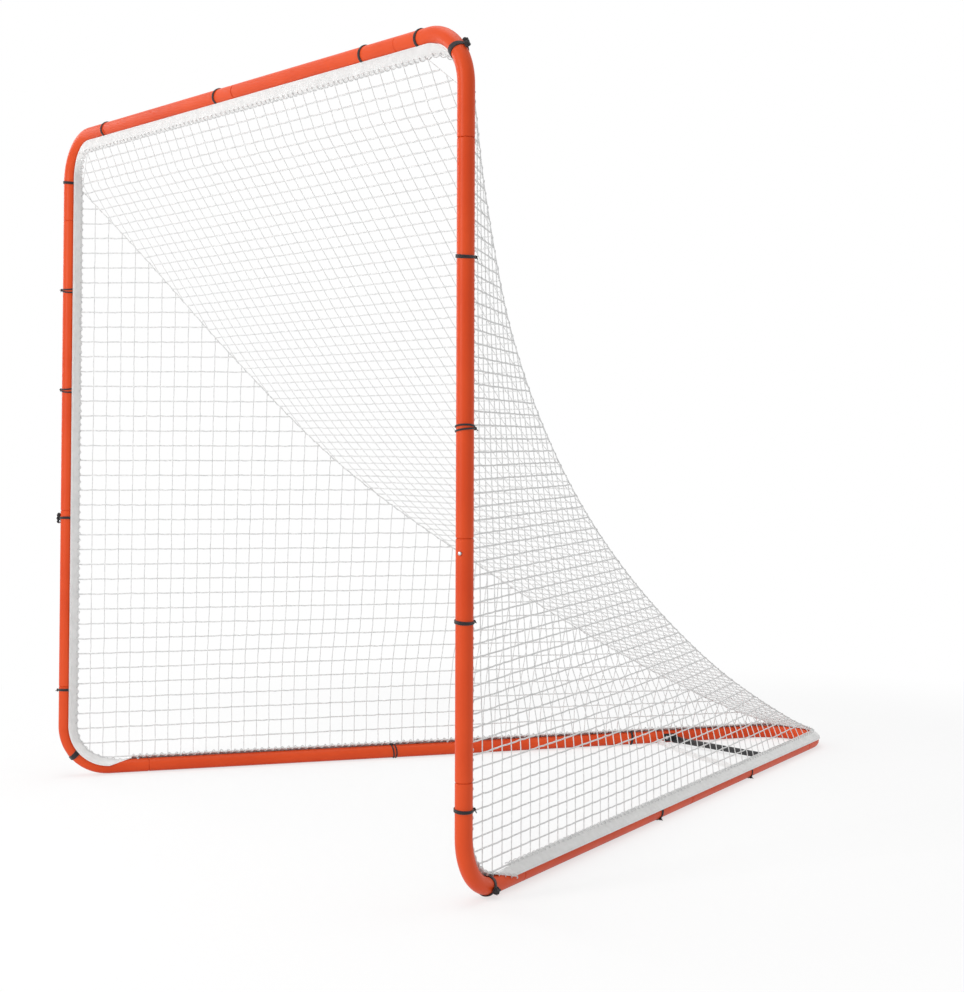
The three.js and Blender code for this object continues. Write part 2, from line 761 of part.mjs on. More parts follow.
const netEdge = tapeOuter + net.edgeGap;
const onRightPost = new THREE.Vector3(
  netEdge * Math.cos(radians(postNetEdgeDeg)),
  netEdge * Math.sin(radians(postNetEdgeDeg)),
  0,
);
const startAlong = onRightPost.dot(railSides.right.way);
const startInward = onRightPost.dot(railSides.right.inward);
const footHeight = RAIL_Z + netEdge;
const seamTop = MOUTH_HEIGHT - net.seamTopDepth;
const apexReach = railLength - net.apexDistance;
const railInward = -tapeInner * Math.cos(radians(TAPE_RAIL_TOP_DEG));

// The side seam as points of distance along the rail, distance inwards and height.
const seamCurve = new THREE.CatmullRomCurve3(
  seamShares.map(
    ([heightShare, reachShare, inwardShare]) =>
      new THREE.Vector3(
        mix(startAlong, apexReach, reachShare),
        startInward * (1 - reachShare) + net.inwardDepth * inwardShare,
        mix(footHeight, seamTop, heightShare),
      ),
  ),
);
const seamKnots = seamCurve
  .getSpacedPoints(Math.round(seamCurve.getLength() / net.meshWidth))
  .map(({ x, y, z }) => ({ along: x, inward: y, height: z }));
const lastKnot = seamKnots.length - 1;

// The seam at a height: straight between its knots.
function seamAt(height) {
  const below = seamKnots.findIndex((knot) => knot.height <= height);
  const i = below < 0 ? lastKnot : Math.max(below, 1);
  const [a, b] = [seamKnots[i - 1], seamKnots[i]];
  const share = (height - a.height) / (b.height - a.height);
  return { along: mix(a.along, b.along, share), inward: mix(a.inward, b.inward, share) };
}

// The side panel: each row runs from the post to the seam, and the lower rows keep to the
// rail for longer.
function sidePlace({ foot, way, inward }) {
  return (along, height) => {
    const seam = seamAt(height);
    const heightShare = (height - footHeight) / (seamTop - footHeight);
    const run = (along - startAlong) / Math.max(seam.along - startAlong, net.probeLength);
    const power = mix(FOOT_HUG_POWER, 1, THREE.MathUtils.smoothstep(heightShare, 0, FOOT_HUG_SHARE));
    const pull = Math.sign(run) * Math.abs(run) ** power;
    const settled = THREE.MathUtils.smoothstep(along, startAlong, startAlong + net.settleLength);
    const edge = mix(startInward, railInward * (1 - heightShare), settled);
    return foot
      .clone()
      .setZ(height)
      .addScaledVector(way, along)
      .addScaledVector(inward, mix(edge, seam.inward, pull));
  };
}

// Cells of a net cut from square mesh, in bands between rows. Each row is { v, us }, from the
// panel's straight side to its seam, and chain holds the seam's points between it and the
// next row.
function bandCells(rows) {
  return rows.slice(1).flatMap((far, i) => {
    const near = rows[i];
    const shared = Math.min(near.us.length, far.us.length) - 1;
    const first = Math.max(shared - 1, 0);
    const squares = Array.from({ length: first }, (_, c) => [
      [near.us[c], near.v],
      [near.us[c + 1], near.v],
      [far.us[c + 1], far.v],
      [far.us[c], far.v],
    ]);
    const nearSide = near.us.slice(first).map((u) => [u, near.v]);
    const farSide = far.us.slice(first).map((u) => [u, far.v]);
    const seam = [...(near.chain ?? []).slice().reverse(), nearSide.at(-1)];
    return [...squares, ...seamCells(nearSide, farSide, seam)];
  });
}

// The band's part at the seam, cut along the columns that run on from the near row to the
// seam where the far row is already at its end.
function seamCells(nearSide, farSide, seam) {
  const [, v] = nearSide[0];
  const edge = [farSide.at(-1), ...seam];
  const crossing = (u) => {
    const i = edge.findIndex(([next]) => next >= u);
    const [[u0, v0], [u1, v1]] = [edge[i - 1], edge[i]];
    return mix(v0, v1, (u - u0) / (u1 - u0));
  };
  const least = END_SHARE * net.meshWidth;
  const cuts = nearSide
    .slice(1, -1)
    .map(([u]) => u)
    .filter((u) => u > edge[0][0] + least / 2 && Math.abs(crossing(u) - v) > least);
  const starts = [-Infinity, ...cuts];
  const ends = [...cuts, Infinity];
  const along = [...farSide.slice(0, -1), ...edge];
  return starts.map((from, i) => {
    const within = ([u]) => u > from && u < ends[i];
    const onCut = (u, height) => (Number.isFinite(u) ? [[u, height(u)]] : []);
    return [
      ...onCut(from, () => v),
      ...nearSide.filter(within),
      ...onCut(ends[i], () => v),
      ...onCut(ends[i], crossing),
      ...along.slice(0, -1).filter(within).reverse(),
      ...onCut(from, crossing),
    ];
  });
}

// Columns from a start to an end, a mesh apart, with a last cord that isn't too short.
function columns(start, end) {
  const whole = Math.floor((end - start) / net.meshWidth - END_SHARE);
  const inner = Array.from({ length: Math.max(whole, 0) + 1 }, (_, i) => start + i * net.meshWidth);
  return end > start ? [...inner, end] : [start];
}

const area = (cell) =>
  cell.reduce((sum, [u, v], i) => {
    const [nextU, nextV] = cell[(i + 1) % cell.length];
    return sum + (u * nextV - nextU * v) / 2;
  }, 0);

// The corners of a cell's gap: its outline moved inwards by each side's own margin.
function insetCell(cell, margins) {
  const count = cell.length;
  const sides = cell.map(([u, v], i) => {
    const [nextU, nextV] = cell[(i + 1) % count];
    const length = Math.hypot(nextU - u, nextV - v);
    return [-(nextV - v) / length, (nextU - u) / length];
  });
  return cell.map(([u, v], i) => {
    const before = (i + count - 1) % count;
    const [[au, av], [bu, bv]] = [sides[before], sides[i]];
    const cross = au * bv - av * bu;
    if (Math.abs(cross) < STRAIGHT_CORNER) {
      const margin = Math.max(margins[before], margins[i]);
      return [u + bu * margin, v + bv * margin];
    }
    const du = (margins[before] * bv - margins[i] * av) / cross;
    const dv = (margins[i] * au - margins[before] * bu) / cross;
    return [u + du, v + dv];
  });
}

// One net panel: cords along the sides of every cell, laid on the surface that place gives.
function panelGeometry(cells, place) {
  const turned = cells.map((cell) => (area(cell) < 0 ? cell.slice().reverse() : cell));
  const positions = [];
  const faces = [];
  const known = new Map();
  const key = ([u, v]) => `${u.toFixed(3)} ${v.toFixed(3)}`;
  const lay = ([u, v]) => {
    const across = place(u + net.probeLength, v).sub(place(u - net.probeLength, v));
    const rise = place(u, v + net.probeLength).sub(place(u, v - net.probeLength));
    const half = across.cross(rise).setLength(net.cordThickness / 2);
    const point = place(u, v);
    positions.push(...point.clone().add(half).toArray(), ...point.clone().sub(half).toArray());
    return positions.length / 3 - 2;
  };
  const corner = (point) => {
    if (!known.has(key(point))) known.set(key(point), lay(point));
    return known.get(key(point));
  };
  const quad = (a, b, c, d) => faces.push(a, b, c, a, c, d);
  const sideKey = (from, to) => `${key(from)} ${key(to)}`;
  const next = (cell, i) => cell[(i + 1) % cell.length];
  const allSides = new Set(turned.flatMap((cell) => cell.map((p, i) => sideKey(p, next(cell, i)))));
  for (const cell of turned) {
    const onEdge = cell.map((p, i) => !allSides.has(sideKey(next(cell, i), p)));
    const margins = onEdge.map((edge) => (edge ? net.cordWidth : net.cordWidth / 2));
    const outer = cell.map(corner);
    const inner = insetCell(cell, margins).map(lay);
    for (let i = 0; i < cell.length; i++) {
      const j = (i + 1) % cell.length;
      quad(outer[i], outer[j], inner[j], inner[i]);
      quad(outer[j] + 1, outer[i] + 1, inner[i] + 1, inner[j] + 1);
      quad(inner[i], inner[j], inner[j] + 1, inner[i] + 1);
      if (onEdge[i]) quad(outer[j], outer[i], outer[i] + 1, outer[j] + 1);
    }
  }
  return outward(positions, faces);
}

// How far along its row a knot steps back, so that the panel's edge clears the seam.
function stepBack(i, run) {
  const a = seamKnots[Math.max(i - 1, 0)];
  const b = seamKnots[Math.min(i + 1, lastKnot)];
  const [acrossRow, alongRow] = run(a, b);
  return ((net.seamGap / 2) * Math.hypot(acrossRow, alongRow)) / Math.abs(acrossRow);
}

function sideCells() {
  const edgeOf = (i) => {
    const back = stepBack(i, (a, b) => [b.height - a.height, b.along - a.along]);
    return [seamKnots[i].along - back, seamKnots[i].height];
  };
  const rows = [];
  let waiting = [];
  for (let i = lastKnot; i >= 1; i--) {
    const [end, height] = edgeOf(i);
    const enough = !rows.length || height - rows.at(-1).v >= ROW_SHARE * net.meshWidth;
    if (enough) {
      if (rows.length) rows.at(-1).chain = waiting;
      rows.push({ v: height, us: columns(startAlong, end) });
      waiting = [];
    } else {
      waiting.push([end, height]);
    }
  }
  const top = seamKnots[0].height - stepBack(0, (a, b) => [b.along - a.along, b.height - a.height]);
  rows.at(-1).chain = waiting;
  rows.push({ v: top, us: [startAlong] });
  return roundFootCorner(bandCells(rows));
}

// The corner at the foot follows the inside of the foot bend.
function roundFootCorner(cells) {
  const radius = cornerBend.radius - tapeOuter - tape.bendEase - net.edgeGap;
  const arc = Array.from({ length: net.cornerArcSteps + 1 }, (_, i) => {
    const angle = Math.PI * (1 + i / net.cornerArcSteps / 2);
    return [
      cornerBend.radius + radius * Math.cos(angle),
      RAIL_Z + cornerBend.radius + radius * Math.sin(angle),
    ];
  });
  return cells.map((cell) =>
    cell.flatMap((point, i) => {
      const isCorner = point[0] === startAlong && point[1] === seamKnots[lastKnot].height;
      if (!isCorner) return [point];
      const before = cell[(i + cell.length - 1) % cell.length];
      return before[0] === startAlong ? arc : arc.slice().reverse();
    }),
  );
}

for (const [name, side] of Object.entries(railSides)) {
  add(`net_${name}_side`, panelGeometry(sideCells(), sidePlace(side)), whiteCord);
}

// The back panel hangs from the tape's lower edge in front of the crossbar and follows the
// seams down to the apex. Its rows run straight across, and its profile is a list of
// distances down the panel with the place and height there.
function backPanel() {
  const { foot, way, inward } = railSides.right;
  const knots = seamKnots.map(({ along, inward: pull, height }) =>
    foot.clone().setZ(height).addScaledVector(way, along).addScaledVector(inward, pull),
  );
  const topZ = BAR_Z - tape.hangTop - tape.width - net.edgeGap;
  const topEdge = new THREE.Vector3(
    POST_X - cornerBend.radius,
    -tapeInner - tape.thickness / 2,
    topZ,
  );
  const line = [topEdge, ...knots];
  const profile = [{ down: 0, y: topEdge.y, z: topEdge.z, half: topEdge.x }];
  for (let i = 1; i < line.length; i++) {
    const step = Math.hypot(line[i].y - line[i - 1].y, line[i].z - line[i - 1].z);
    const down = profile.at(-1).down + step;
    profile.push({ down, y: line[i].y, z: line[i].z, half: line[i].x });
  }
  const place = (x, down) => {
    const beyond = profile.findIndex((one) => one.down >= down);
    const i = beyond < 0 ? profile.length - 1 : Math.max(beyond, 1);
    const [a, b] = [profile[i - 1], profile[i]];
    const share = (down - a.down) / (b.down - a.down);
    return new THREE.Vector3(x, mix(a.y, b.y, share), mix(a.z, b.z, share));
  };
  const rows = profile.map(({ down, half }, i) => ({
    v: down,
    us: columns(0, i ? half - (net.seamGap / 2) : half),
  }));
  const cornerRadius = cornerBend.radius - tapeOuter - tape.bendEase - net.edgeGap;
  const cornerZ = BAR_Z - cornerBend.radius + cornerRadius * Math.SQRT1_2;
  const cornerX = POST_X - cornerBend.radius + cornerRadius * Math.SQRT1_2;
  const cornerDown = (profile[1].down * (topZ - cornerZ)) / (topZ - profile[1].z);
  rows[0].chain = [[cornerX, cornerDown]];
  const rightHalf = bandCells(rows);
  const leftHalf = rightHalf.map((cell) => cell.map(([u, v]) => [-u, v]));
  return panelGeometry([...rightHalf, ...leftHalf], place);
}

add("net_back", backPanel(), whiteCord);

// Ground brace

const braceZ = RAIL_Z - brace.drop;
const tabFace = R * CORNER_OF_FACE + GAP; // from a rail's axis to the tab that lies on it
function braceGeometry() {
  const holeDepth = tabFace + brace.tabThickness + OVERRUN;
  const tabs = boltPlaces.map(({ frame, rearward, point, direction }) => {
    const hole = rod(point, direction, bolt.hole / 2, holeDepth, bolt.sides);
    const box = new THREE.BoxGeometry(brace.tabThickness, brace.tabHeight, brace.tabLength);
    box.applyMatrix4(new THREE.Matrix4().makeBasis(frame.out, frame.back, frame.along));
    const centre = frame.point
      .clone()
      .addScaledVector(direction, tabFace + brace.tabThickness / 2);
    box.translate(...centre.toArray());
    const barEnd = centre.clone().addScaledVector(frame.along, rearward * brace.barAside);
    return { box: solid(box), hole: solid(hole), barEnd };
  });
  const half = Math.abs(tabs[0].barEnd.x);
  const barY = tabs[0].barEnd.y;
  const round = [brace.radius, brace.radius];
  const flat = [brace.flatHalf, brace.flatHalfHeight];
  const stations = [
    [-half, flat],
    [-half + brace.neck, flat],
    [-half + brace.taper, round],
    [half - brace.taper, round],
    [half - brace.neck, flat],
    [half, flat],
  ];
  const bar = skin(
    stations.map(([x, [depth, height]]) =>
      Array.from({ length: brace.sides }, (_, k) => {
        const angle = (2 * Math.PI * k) / brace.sides;
        return new THREE.Vector3(
          x,
          barY + depth * Math.cos(angle),
          braceZ + height * Math.sin(angle),
        );
      }),
    ),
    true,
  );
  const whole = tabs.reduce((sum, { box }) => sum.add(box), solid(bar));
  return geometryOf(tabs.reduce((left, { hole }) => left.subtract(hole), whole));
}
add("rear_brace", braceGeometry(), blackSteel);

const boltStations = [
  [tabFace + brace.tabThickness - bolt.length, bolt.shank / 2],
  [tabFace + brace.tabThickness + GAP, bolt.shank / 2],
  [tabFace + brace.tabThickness + GAP, bolt.head / 2],
  [tabFace + brace.tabThickness + GAP + bolt.headHeight, bolt.head / 2 - bolt.headHeight / 2],
];
for (const { name, point, direction } of boltPlaces) {
  const mesh = add(`brace_bolt_${name}`, turned(boltStations, bolt.sides), zinc);
  mesh.position.copy(point);
  mesh.quaternion.setFromUnitVectors(BACK, direction);
}

// Ground strap: on edge just above the ground, between the rails' inner sides, slack enough
// to bow towards the mouth.
function strapGeometry() {
  const slope = POST_X / apexY;
  const end = (apexDistance, sign) => {
    const y = GOAL_DEPTH - apexDistance;
    return new THREE.Vector3(sign * (POST_X - y * slope - (R + GAP) / leftRailWay.y), y, 0);
  };
  const left = end(strap.leftApexDistance, -1);
  const right = end(strap.rightApexDistance, 1);
  const middle = left.clone().lerp(right, 0.5);
  middle.y -= 2 * strap.bowDepth;
  const curve = new THREE.QuadraticBezierCurve3(left, middle, right);
  const rings = curve.getPoints(strap.steps).map((point) => {
    const front = point.clone();
    front.y -= strap.thickness;
    return [
      point.clone().setZ(GAP),
      front.clone().setZ(GAP),
      front.clone().setZ(GAP + strap.height),
      point.clone().setZ(GAP + strap.height),
    ];
  });
  return skin(rings, true);
}
add("ground_strap", strapGeometry(), webbing);

// Footprint's middle to the origin
const middle = new THREE.Box3().setFromObject(goal).getCenter(new THREE.Vector3());
goal.position.y = -middle.y;
const part = new THREE.Group();
part.add(goal);

export default part;
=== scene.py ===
"""The looks of a field lacrosse goal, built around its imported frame.

Smooth powder-coated tubes with snap buttons, a knotted net of three panels between woven
border tapes, the white cord that whips the net to them, the black laces that tie all of it
to the tubes, and a brace and a strap near the ground. Metres, in the frame's own axes: the
mouth faces -Y, the apex points to +Y.
"""

import math
from collections import namedtuple

import bmesh
import bpy
import numpy as np
from mathutils import Matrix, Vector


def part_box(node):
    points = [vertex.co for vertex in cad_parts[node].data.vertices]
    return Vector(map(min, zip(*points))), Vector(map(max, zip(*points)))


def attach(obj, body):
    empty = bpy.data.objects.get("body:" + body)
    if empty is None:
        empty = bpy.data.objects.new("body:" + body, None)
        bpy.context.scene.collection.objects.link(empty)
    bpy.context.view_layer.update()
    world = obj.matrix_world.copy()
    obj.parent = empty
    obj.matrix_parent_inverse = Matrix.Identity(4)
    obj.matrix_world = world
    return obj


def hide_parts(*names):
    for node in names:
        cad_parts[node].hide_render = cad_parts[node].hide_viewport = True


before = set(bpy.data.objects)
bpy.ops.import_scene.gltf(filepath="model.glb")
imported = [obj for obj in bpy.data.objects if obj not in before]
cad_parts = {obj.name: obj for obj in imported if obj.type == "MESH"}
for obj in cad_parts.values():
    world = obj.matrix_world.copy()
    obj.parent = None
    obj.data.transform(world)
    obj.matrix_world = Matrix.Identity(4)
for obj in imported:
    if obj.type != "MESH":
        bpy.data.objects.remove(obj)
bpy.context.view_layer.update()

UP = Vector((0, 0, 1))
BACK = Vector((0, 1, 0))
RIGHT = Vector((1, 0, 0))


def add_object(name, data):
    made = bpy.data.objects.new(name, data)
    bpy.context.scene.collection.objects.link(made)
    return made


# The camera, as measured from the photograph

CAMERA_PLACE = (3.844, -3.3399, 0.969)
CAMERA_YAW_DEG = 50.03
CAMERA_PITCH_DEG = 1.69
CAMERA_ROLL_DEG = 0.14
CAMERA_LENS_MM = 64.0
CAMERA_SHIFT = (-0.0392, -0.1071)
CAMERA_FAR = 60.0


def add_camera():
    yaw, pitch, roll = map(math.radians, (CAMERA_YAW_DEG, CAMERA_PITCH_DEG, CAMERA_ROLL_DEG))
    level = Vector((math.cos(yaw), math.sin(yaw), 0))
    ahead = UP.cross(level) * math.cos(pitch) + UP * math.sin(pitch)
    upright = level.cross(ahead)
    right = level * math.cos(roll) + upright * math.sin(roll)
    up = upright * math.cos(roll) - level * math.sin(roll)
    data = bpy.data.cameras.new("camera")
    data.lens = CAMERA_LENS_MM
    data.shift_x, data.shift_y = CAMERA_SHIFT
    data.clip_end = CAMERA_FAR
    camera = add_object("camera", data)
    turn = Matrix((right, up, -ahead)).transposed().to_4x4()
    camera.matrix_world = Matrix.Translation(CAMERA_PLACE) @ turn
    bpy.context.scene.camera = camera


add_camera()


# Sizes of the frame, read from its nodes


def middle_of(node):
    low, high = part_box(node)
    return (low + high) / 2


MOUTH_Y = middle_of("crossbar_left").y
BAR_Z = middle_of("crossbar_left").z
RAIL_Z = middle_of("left_rail_front").z
POST_X = middle_of("lower_right_post").x
bar_low, bar_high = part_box("crossbar_left")
TUBE_RADIUS = (bar_high - bar_low).z / 2
APEX_REAR_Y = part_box("rear_apex_bend")[1].y

# Sizes that the frame's boxes don't show

GAP = 0.0003
TUBE_WALL = 0.0016
TUBE_SIDES = 48
CORNER_RADIUS = 0.125
CORNER_LEG = 0.113
APEX_RADIUS = 0.14
APEX_LEG = 0.06
BEND_STEPS = 28
LIP = 0.0005
PLUG_LENGTH = 0.055
PLUG_FIT = 0.00055
SWAGE = 0.003
POST_JOINT_SHARE = 0.4145
RAIL_JOINT_SHARE = 0.4658

BORE = TUBE_RADIUS - TUBE_WALL
PLUG_RADIUS = BORE - PLUG_FIT
PLUG_BORE = PLUG_RADIUS - TUBE_WALL

# The rails' axes cross at the depth that puts the rear of the bend between them at APEX_REAR_Y.
CUT = APEX_RADIUS / POST_X
TO_BEND_AXIS = APEX_REAR_Y - MOUTH_Y - APEX_RADIUS - TUBE_RADIUS
ROOT = math.sqrt(TO_BEND_AXIS**2 - (1 - CUT**2) * (TO_BEND_AXIS**2 - APEX_RADIUS**2))
APEX_REACH = (TO_BEND_AXIS + ROOT) / (1 - CUT**2)

APEX = Vector((0, MOUTH_Y + APEX_REACH, RAIL_Z))
RIGHT_FOOT = Vector((POST_X, MOUTH_Y, RAIL_Z))
LEFT_FOOT = Vector((-POST_X, MOUTH_Y, RAIL_Z))
RIGHT_TOP = Vector((POST_X, MOUTH_Y, BAR_Z))
LEFT_TOP = Vector((-POST_X, MOUTH_Y, BAR_Z))
RAIL_LENGTH = (APEX - RIGHT_FOOT).length
LEFT_RAIL_WAY = (APEX - LEFT_FOOT).normalized()
RIGHT_RAIL_WAY = (RIGHT_FOOT - APEX).normalized()
POST_JOINT = POST_JOINT_SHARE * BAR_Z
RAIL_JOINT = RAIL_JOINT_SHARE * RAIL_LENGTH


# Centre-lines. Each gives, at a distance s from its start, a point and three directions:
# along the tube, out of the ring of tubes, and back, which is out x back = along.

Spot = namedtuple("Spot", "point along out back")
Line = namedtuple("Line", "length at arc_start arc")


def straight_line(start, along, length, back):
    out = back.cross(along)
    return Line(length, lambda s: Spot(start + along * s, along, out, back), 0, 0)


def bent_line(corner, arriving, leaving, radius, leg):
    turn = arriving.angle(leaving)
    first_out = (-leaving - arriving * -leaving.dot(arriving)).normalized()
    back = arriving.cross(first_out)
    reach = radius * math.tan(turn / 2)
    centre = corner - arriving * reach - first_out * radius
    arc = radius * turn

    def at(s):
        on_arc = min(max(s - leg, 0), arc)
        out = Matrix.Rotation(-on_arc / radius, 3, back) @ first_out
        along = out.cross(back)
        point = centre + out * radius + along * (s - leg - on_arc)
        return Spot(point, along, out, back)

    return Line(arc + 2 * leg, at, leg, arc), reach


right_top_bend, corner_reach = bent_line(RIGHT_TOP, UP, -RIGHT, CORNER_RADIUS, CORNER_LEG)
left_top_bend, _ = bent_line(LEFT_TOP, -RIGHT, -UP, CORNER_RADIUS, CORNER_LEG)
left_foot_bend, _ = bent_line(LEFT_FOOT, -UP, LEFT_RAIL_WAY, CORNER_RADIUS, CORNER_LEG)
right_foot_bend, _ = bent_line(RIGHT_FOOT, RIGHT_RAIL_WAY, UP, CORNER_RADIUS, CORNER_LEG)
rear_bend, apex_reach = bent_line(APEX, LEFT_RAIL_WAY, RIGHT_RAIL_WAY, APEX_RADIUS, APEX_LEG)

right_post_run = straight_line(Vector((POST_X, MOUTH_Y, 0)), UP, BAR_Z, BACK)
left_post_run = straight_line(LEFT_TOP, -UP, BAR_Z, BACK)
bar_run = straight_line(RIGHT_TOP, -RIGHT, 2 * POST_X, BACK)
left_rail_run = straight_line(LEFT_FOOT, LEFT_RAIL_WAY, RAIL_LENGTH, UP)
right_rail_run = straight_line(APEX, RIGHT_RAIL_WAY, RAIL_LENGTH, UP)


def part_of(run, start, end):
    first = run.at(start)
    return straight_line(first.point, first.along, end - start, first.back)


corner_leg = corner_reach + CORNER_LEG
apex_leg = apex_reach + APEX_LEG
post_foot = RAIL_Z + corner_leg
post_rest = BAR_Z - POST_JOINT
rail_rest = RAIL_LENGTH - RAIL_JOINT

# The ring of tubes from the right foot up, across, down and round the ground frame: name,
# centre-line, whether each end is a plug.
ring = [
    ("bottom_right_elbow", right_foot_bend, False, False),
    ("lower_right_post", part_of(right_post_run, post_foot, POST_JOINT), True, False),
    ("upper_right_post", part_of(right_post_run, POST_JOINT, BAR_Z - corner_leg), True, True),
    ("top_right_elbow", right_top_bend, False, False),
    ("crossbar_right", part_of(bar_run, corner_leg, POST_X), True, True),
    ("crossbar_left", part_of(bar_run, POST_X, 2 * POST_X - corner_leg), False, True),
    ("top_left_elbow", left_top_bend, False, False),
    ("upper_left_post", part_of(left_post_run, corner_leg, post_rest), True, True),
    ("lower_left_post", part_of(left_post_run, post_rest, BAR_Z - post_foot), False, True),
    ("bottom_left_elbow", left_foot_bend, False, False),
    ("left_rail_front", part_of(left_rail_run, corner_leg, RAIL_JOINT), True, False),
    ("left_rail_rear", part_of(left_rail_run, RAIL_JOINT, RAIL_LENGTH - apex_leg), True, True),
    ("rear_apex_bend", rear_bend, False, False),
    ("right_rail_rear", part_of(right_rail_run, apex_leg, rail_rest), True, True),
    ("right_rail_front", part_of(right_rail_run, rail_rest, RAIL_LENGTH - corner_leg), False, True),
]


# Mesh helpers

ROUND_SIDES = 32  # of buttons, bolts, holes and the brace
SHARP_DEG = 40  # a steeper edge is shaded sharp


def mixed(a, b, share):
    return a + (b - a) * share


def smooth_step(value, start, end):
    share = np.clip((value - start) / (end - start), 0, 1)
    return share * share * (3 - 2 * share)


def unit(vectors):
    return vectors / np.linalg.norm(vectors, axis=-1, keepdims=True)


def circle(count):
    angles = [2 * math.pi * k / count for k in range(count)]
    return [(math.cos(a), math.sin(a)) for a in angles]


def lathe(point, way, ahead, profile):
    """Rings of a turned form. The profile has heights along its way, each with a radius."""
    side = way.cross(ahead)
    return [
        [point + way * height + (ahead * c + side * s) * radius for c, s in circle(ROUND_SIDES)]
        for height, radius in profile
    ]


def rounded_box(half_x, half_y, radius, steps):
    """The outline of a rectangle with round corners, or with bevels if they have one step."""
    outline = []
    for sign_x, sign_y in ((1, 1), (-1, 1), (-1, -1), (1, -1)):
        start = math.atan2(sign_y, sign_x) - math.pi / 4
        for i in range(steps + 1):
            angle = start + math.pi / 2 * i / steps
            x = sign_x * (half_x - radius) + radius * math.cos(angle)
            y = sign_y * (half_y - radius) + radius * math.sin(angle)
            outline.append((x, y))
    return outline


def distances(line):
    """How far along a line of points each point lies."""
    return np.concatenate([[0], np.cumsum(np.linalg.norm(np.diff(line, axis=0), axis=1))])


def looked_up(places, distance, values):
    """Values at some places, from their rows at known distances."""
    return np.stack([np.interp(places, distance, column) for column in values.T], -1)


def keep_above(path, height):
    path[:, 2] = np.maximum(path[:, 2], height)


class Shape:
    """Vertices and faces that grow piece by piece."""

    def __init__(self):
        self.vertices = []
        self.faces = []
        self.count = 0

    def add(self, vertices, faces):
        self.vertices.append(np.asarray(vertices, float).reshape(-1, 3))
        self.faces.extend([tuple(i + self.count for i in face) for face in faces])
        self.count += len(self.vertices[-1])
        return self

    def loft(self, rings, closed=False):
        """A skin over rings of equally many points, closed on itself or capped."""
        rings = np.asarray(rings, float)
        number, around = rings.shape[:2]
        faces = []
        for i in range(number if closed else number - 1):
            a = i * around
            b = ((i + 1) % number) * around
            for k in range(around):
                n = (k + 1) % around
                faces.append((a + k, a + n, b + n, b + k))
        if not closed:
            last = (number - 1) * around
            faces.append(tuple(range(around - 1, -1, -1)))
            faces.append(tuple(range(last, last + around)))
        return self.add(rings, faces)

    def cord(self, path, radius, sides, beside=None, flat=1.0, closed=False):
        """A cord along a path. beside is a direction, or one for each point, that the cord's
        section is turned to, and flat is its other half width as a share of the radius."""
        path = np.asarray(path, float)
        if closed:
            ends = np.roll(path, -1, 0) - np.roll(path, 1, 0)
        else:
            ends = np.gradient(path, axis=0)
        along = unit(ends)
        if beside is None:
            beside = np.eye(3)[np.argmin(np.abs(along).mean(0))]
        beside = np.broadcast_to(np.asarray(beside, float), path.shape)
        over = unit(np.cross(along, beside))
        beside = np.cross(over, along)
        radius = np.broadcast_to(np.asarray(radius, float), (len(path),))[:, None]
        rings = [path + radius * (c * beside + flat * s * over) for c, s in circle(sides)]
        return self.loft(np.stack(rings, 1), closed)


def mesh_of(name, shape):
    """A mesh whose faces all look outwards."""
    mesh = bpy.data.meshes.new(name)
    mesh.from_pydata(np.concatenate(shape.vertices).tolist(), [], shape.faces)
    work = bmesh.new()
    work.from_mesh(mesh)
    bmesh.ops.recalc_face_normals(work, faces=work.faces)
    work.to_mesh(mesh)
    work.free()
    return mesh


def shade(mesh, sharp_deg):
    mesh.shade_smooth()
    mesh.set_sharp_from_angle(angle=math.radians(sharp_deg))


def add_piece(name, shape, look, body="frame", stands_for=(), sharp_deg=SHARP_DEG):
    mesh = mesh_of(name, shape)
    shade(mesh, sharp_deg)
    piece = add_object(name, mesh)
    mesh.materials.append(look)
    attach(piece, body)
    if stands_for:
        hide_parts(*stands_for)
    return piece


def add_uv(piece, places):
    """A UV map in metres, from one place for each vertex."""
    layer = piece.data.uv_layers.new(name="tape")
    vertex = np.zeros(len(piece.data.loops), int)
    piece.data.loops.foreach_get("vertex_index", vertex)
    layer.data.foreach_set("uv", places[vertex].astype(np.float32).ravel())


def round_tube(spot, degrees):
    """The direction at an angle round a tube, from its outmost line towards its back."""
    angle = math.radians(degrees)
    return spot.out * math.cos(angle) + spot.back * math.sin(angle)


def ring_at(spot, radius):
    degrees = [360 * (k + 0.5) / TUBE_SIDES for k in range(TUBE_SIDES)]
    return [spot.point + round_tube(spot, angle) * radius for angle in degrees]


# Materials

TWIST_HEIGHT = 0.0003  # of the turns of a cord


def linear(color):
    """A colour of 0 to 255 as a shader's linear colour."""
    shares = [part / 255 for part in color]
    return (*[s / 12.92 if s <= 0.04045 else ((s + 0.055) / 1.055) ** 2.4 for s in shares], 1)


class Nodes:
    """A shader tree, with short ways to add nodes. A value's name has _ for a space."""

    def __init__(self, tree):
        self.tree = tree

    def node(self, kind, operation=None, **values):
        made = self.tree.nodes.new(kind)
        if operation:
            made.operation = operation
        for key, value in values.items():
            made.inputs[key.replace("_", " ")].default_value = value
        return made

    def link(self, source, target):
        self.tree.links.new(source, target)

    def blend(self, factor, first, second):
        mix = self.node("ShaderNodeMixShader")
        self.link(factor, mix.inputs["Fac"])
        self.link(first, mix.inputs[1])
        self.link(second, mix.inputs[2])
        return mix.outputs["Shader"]


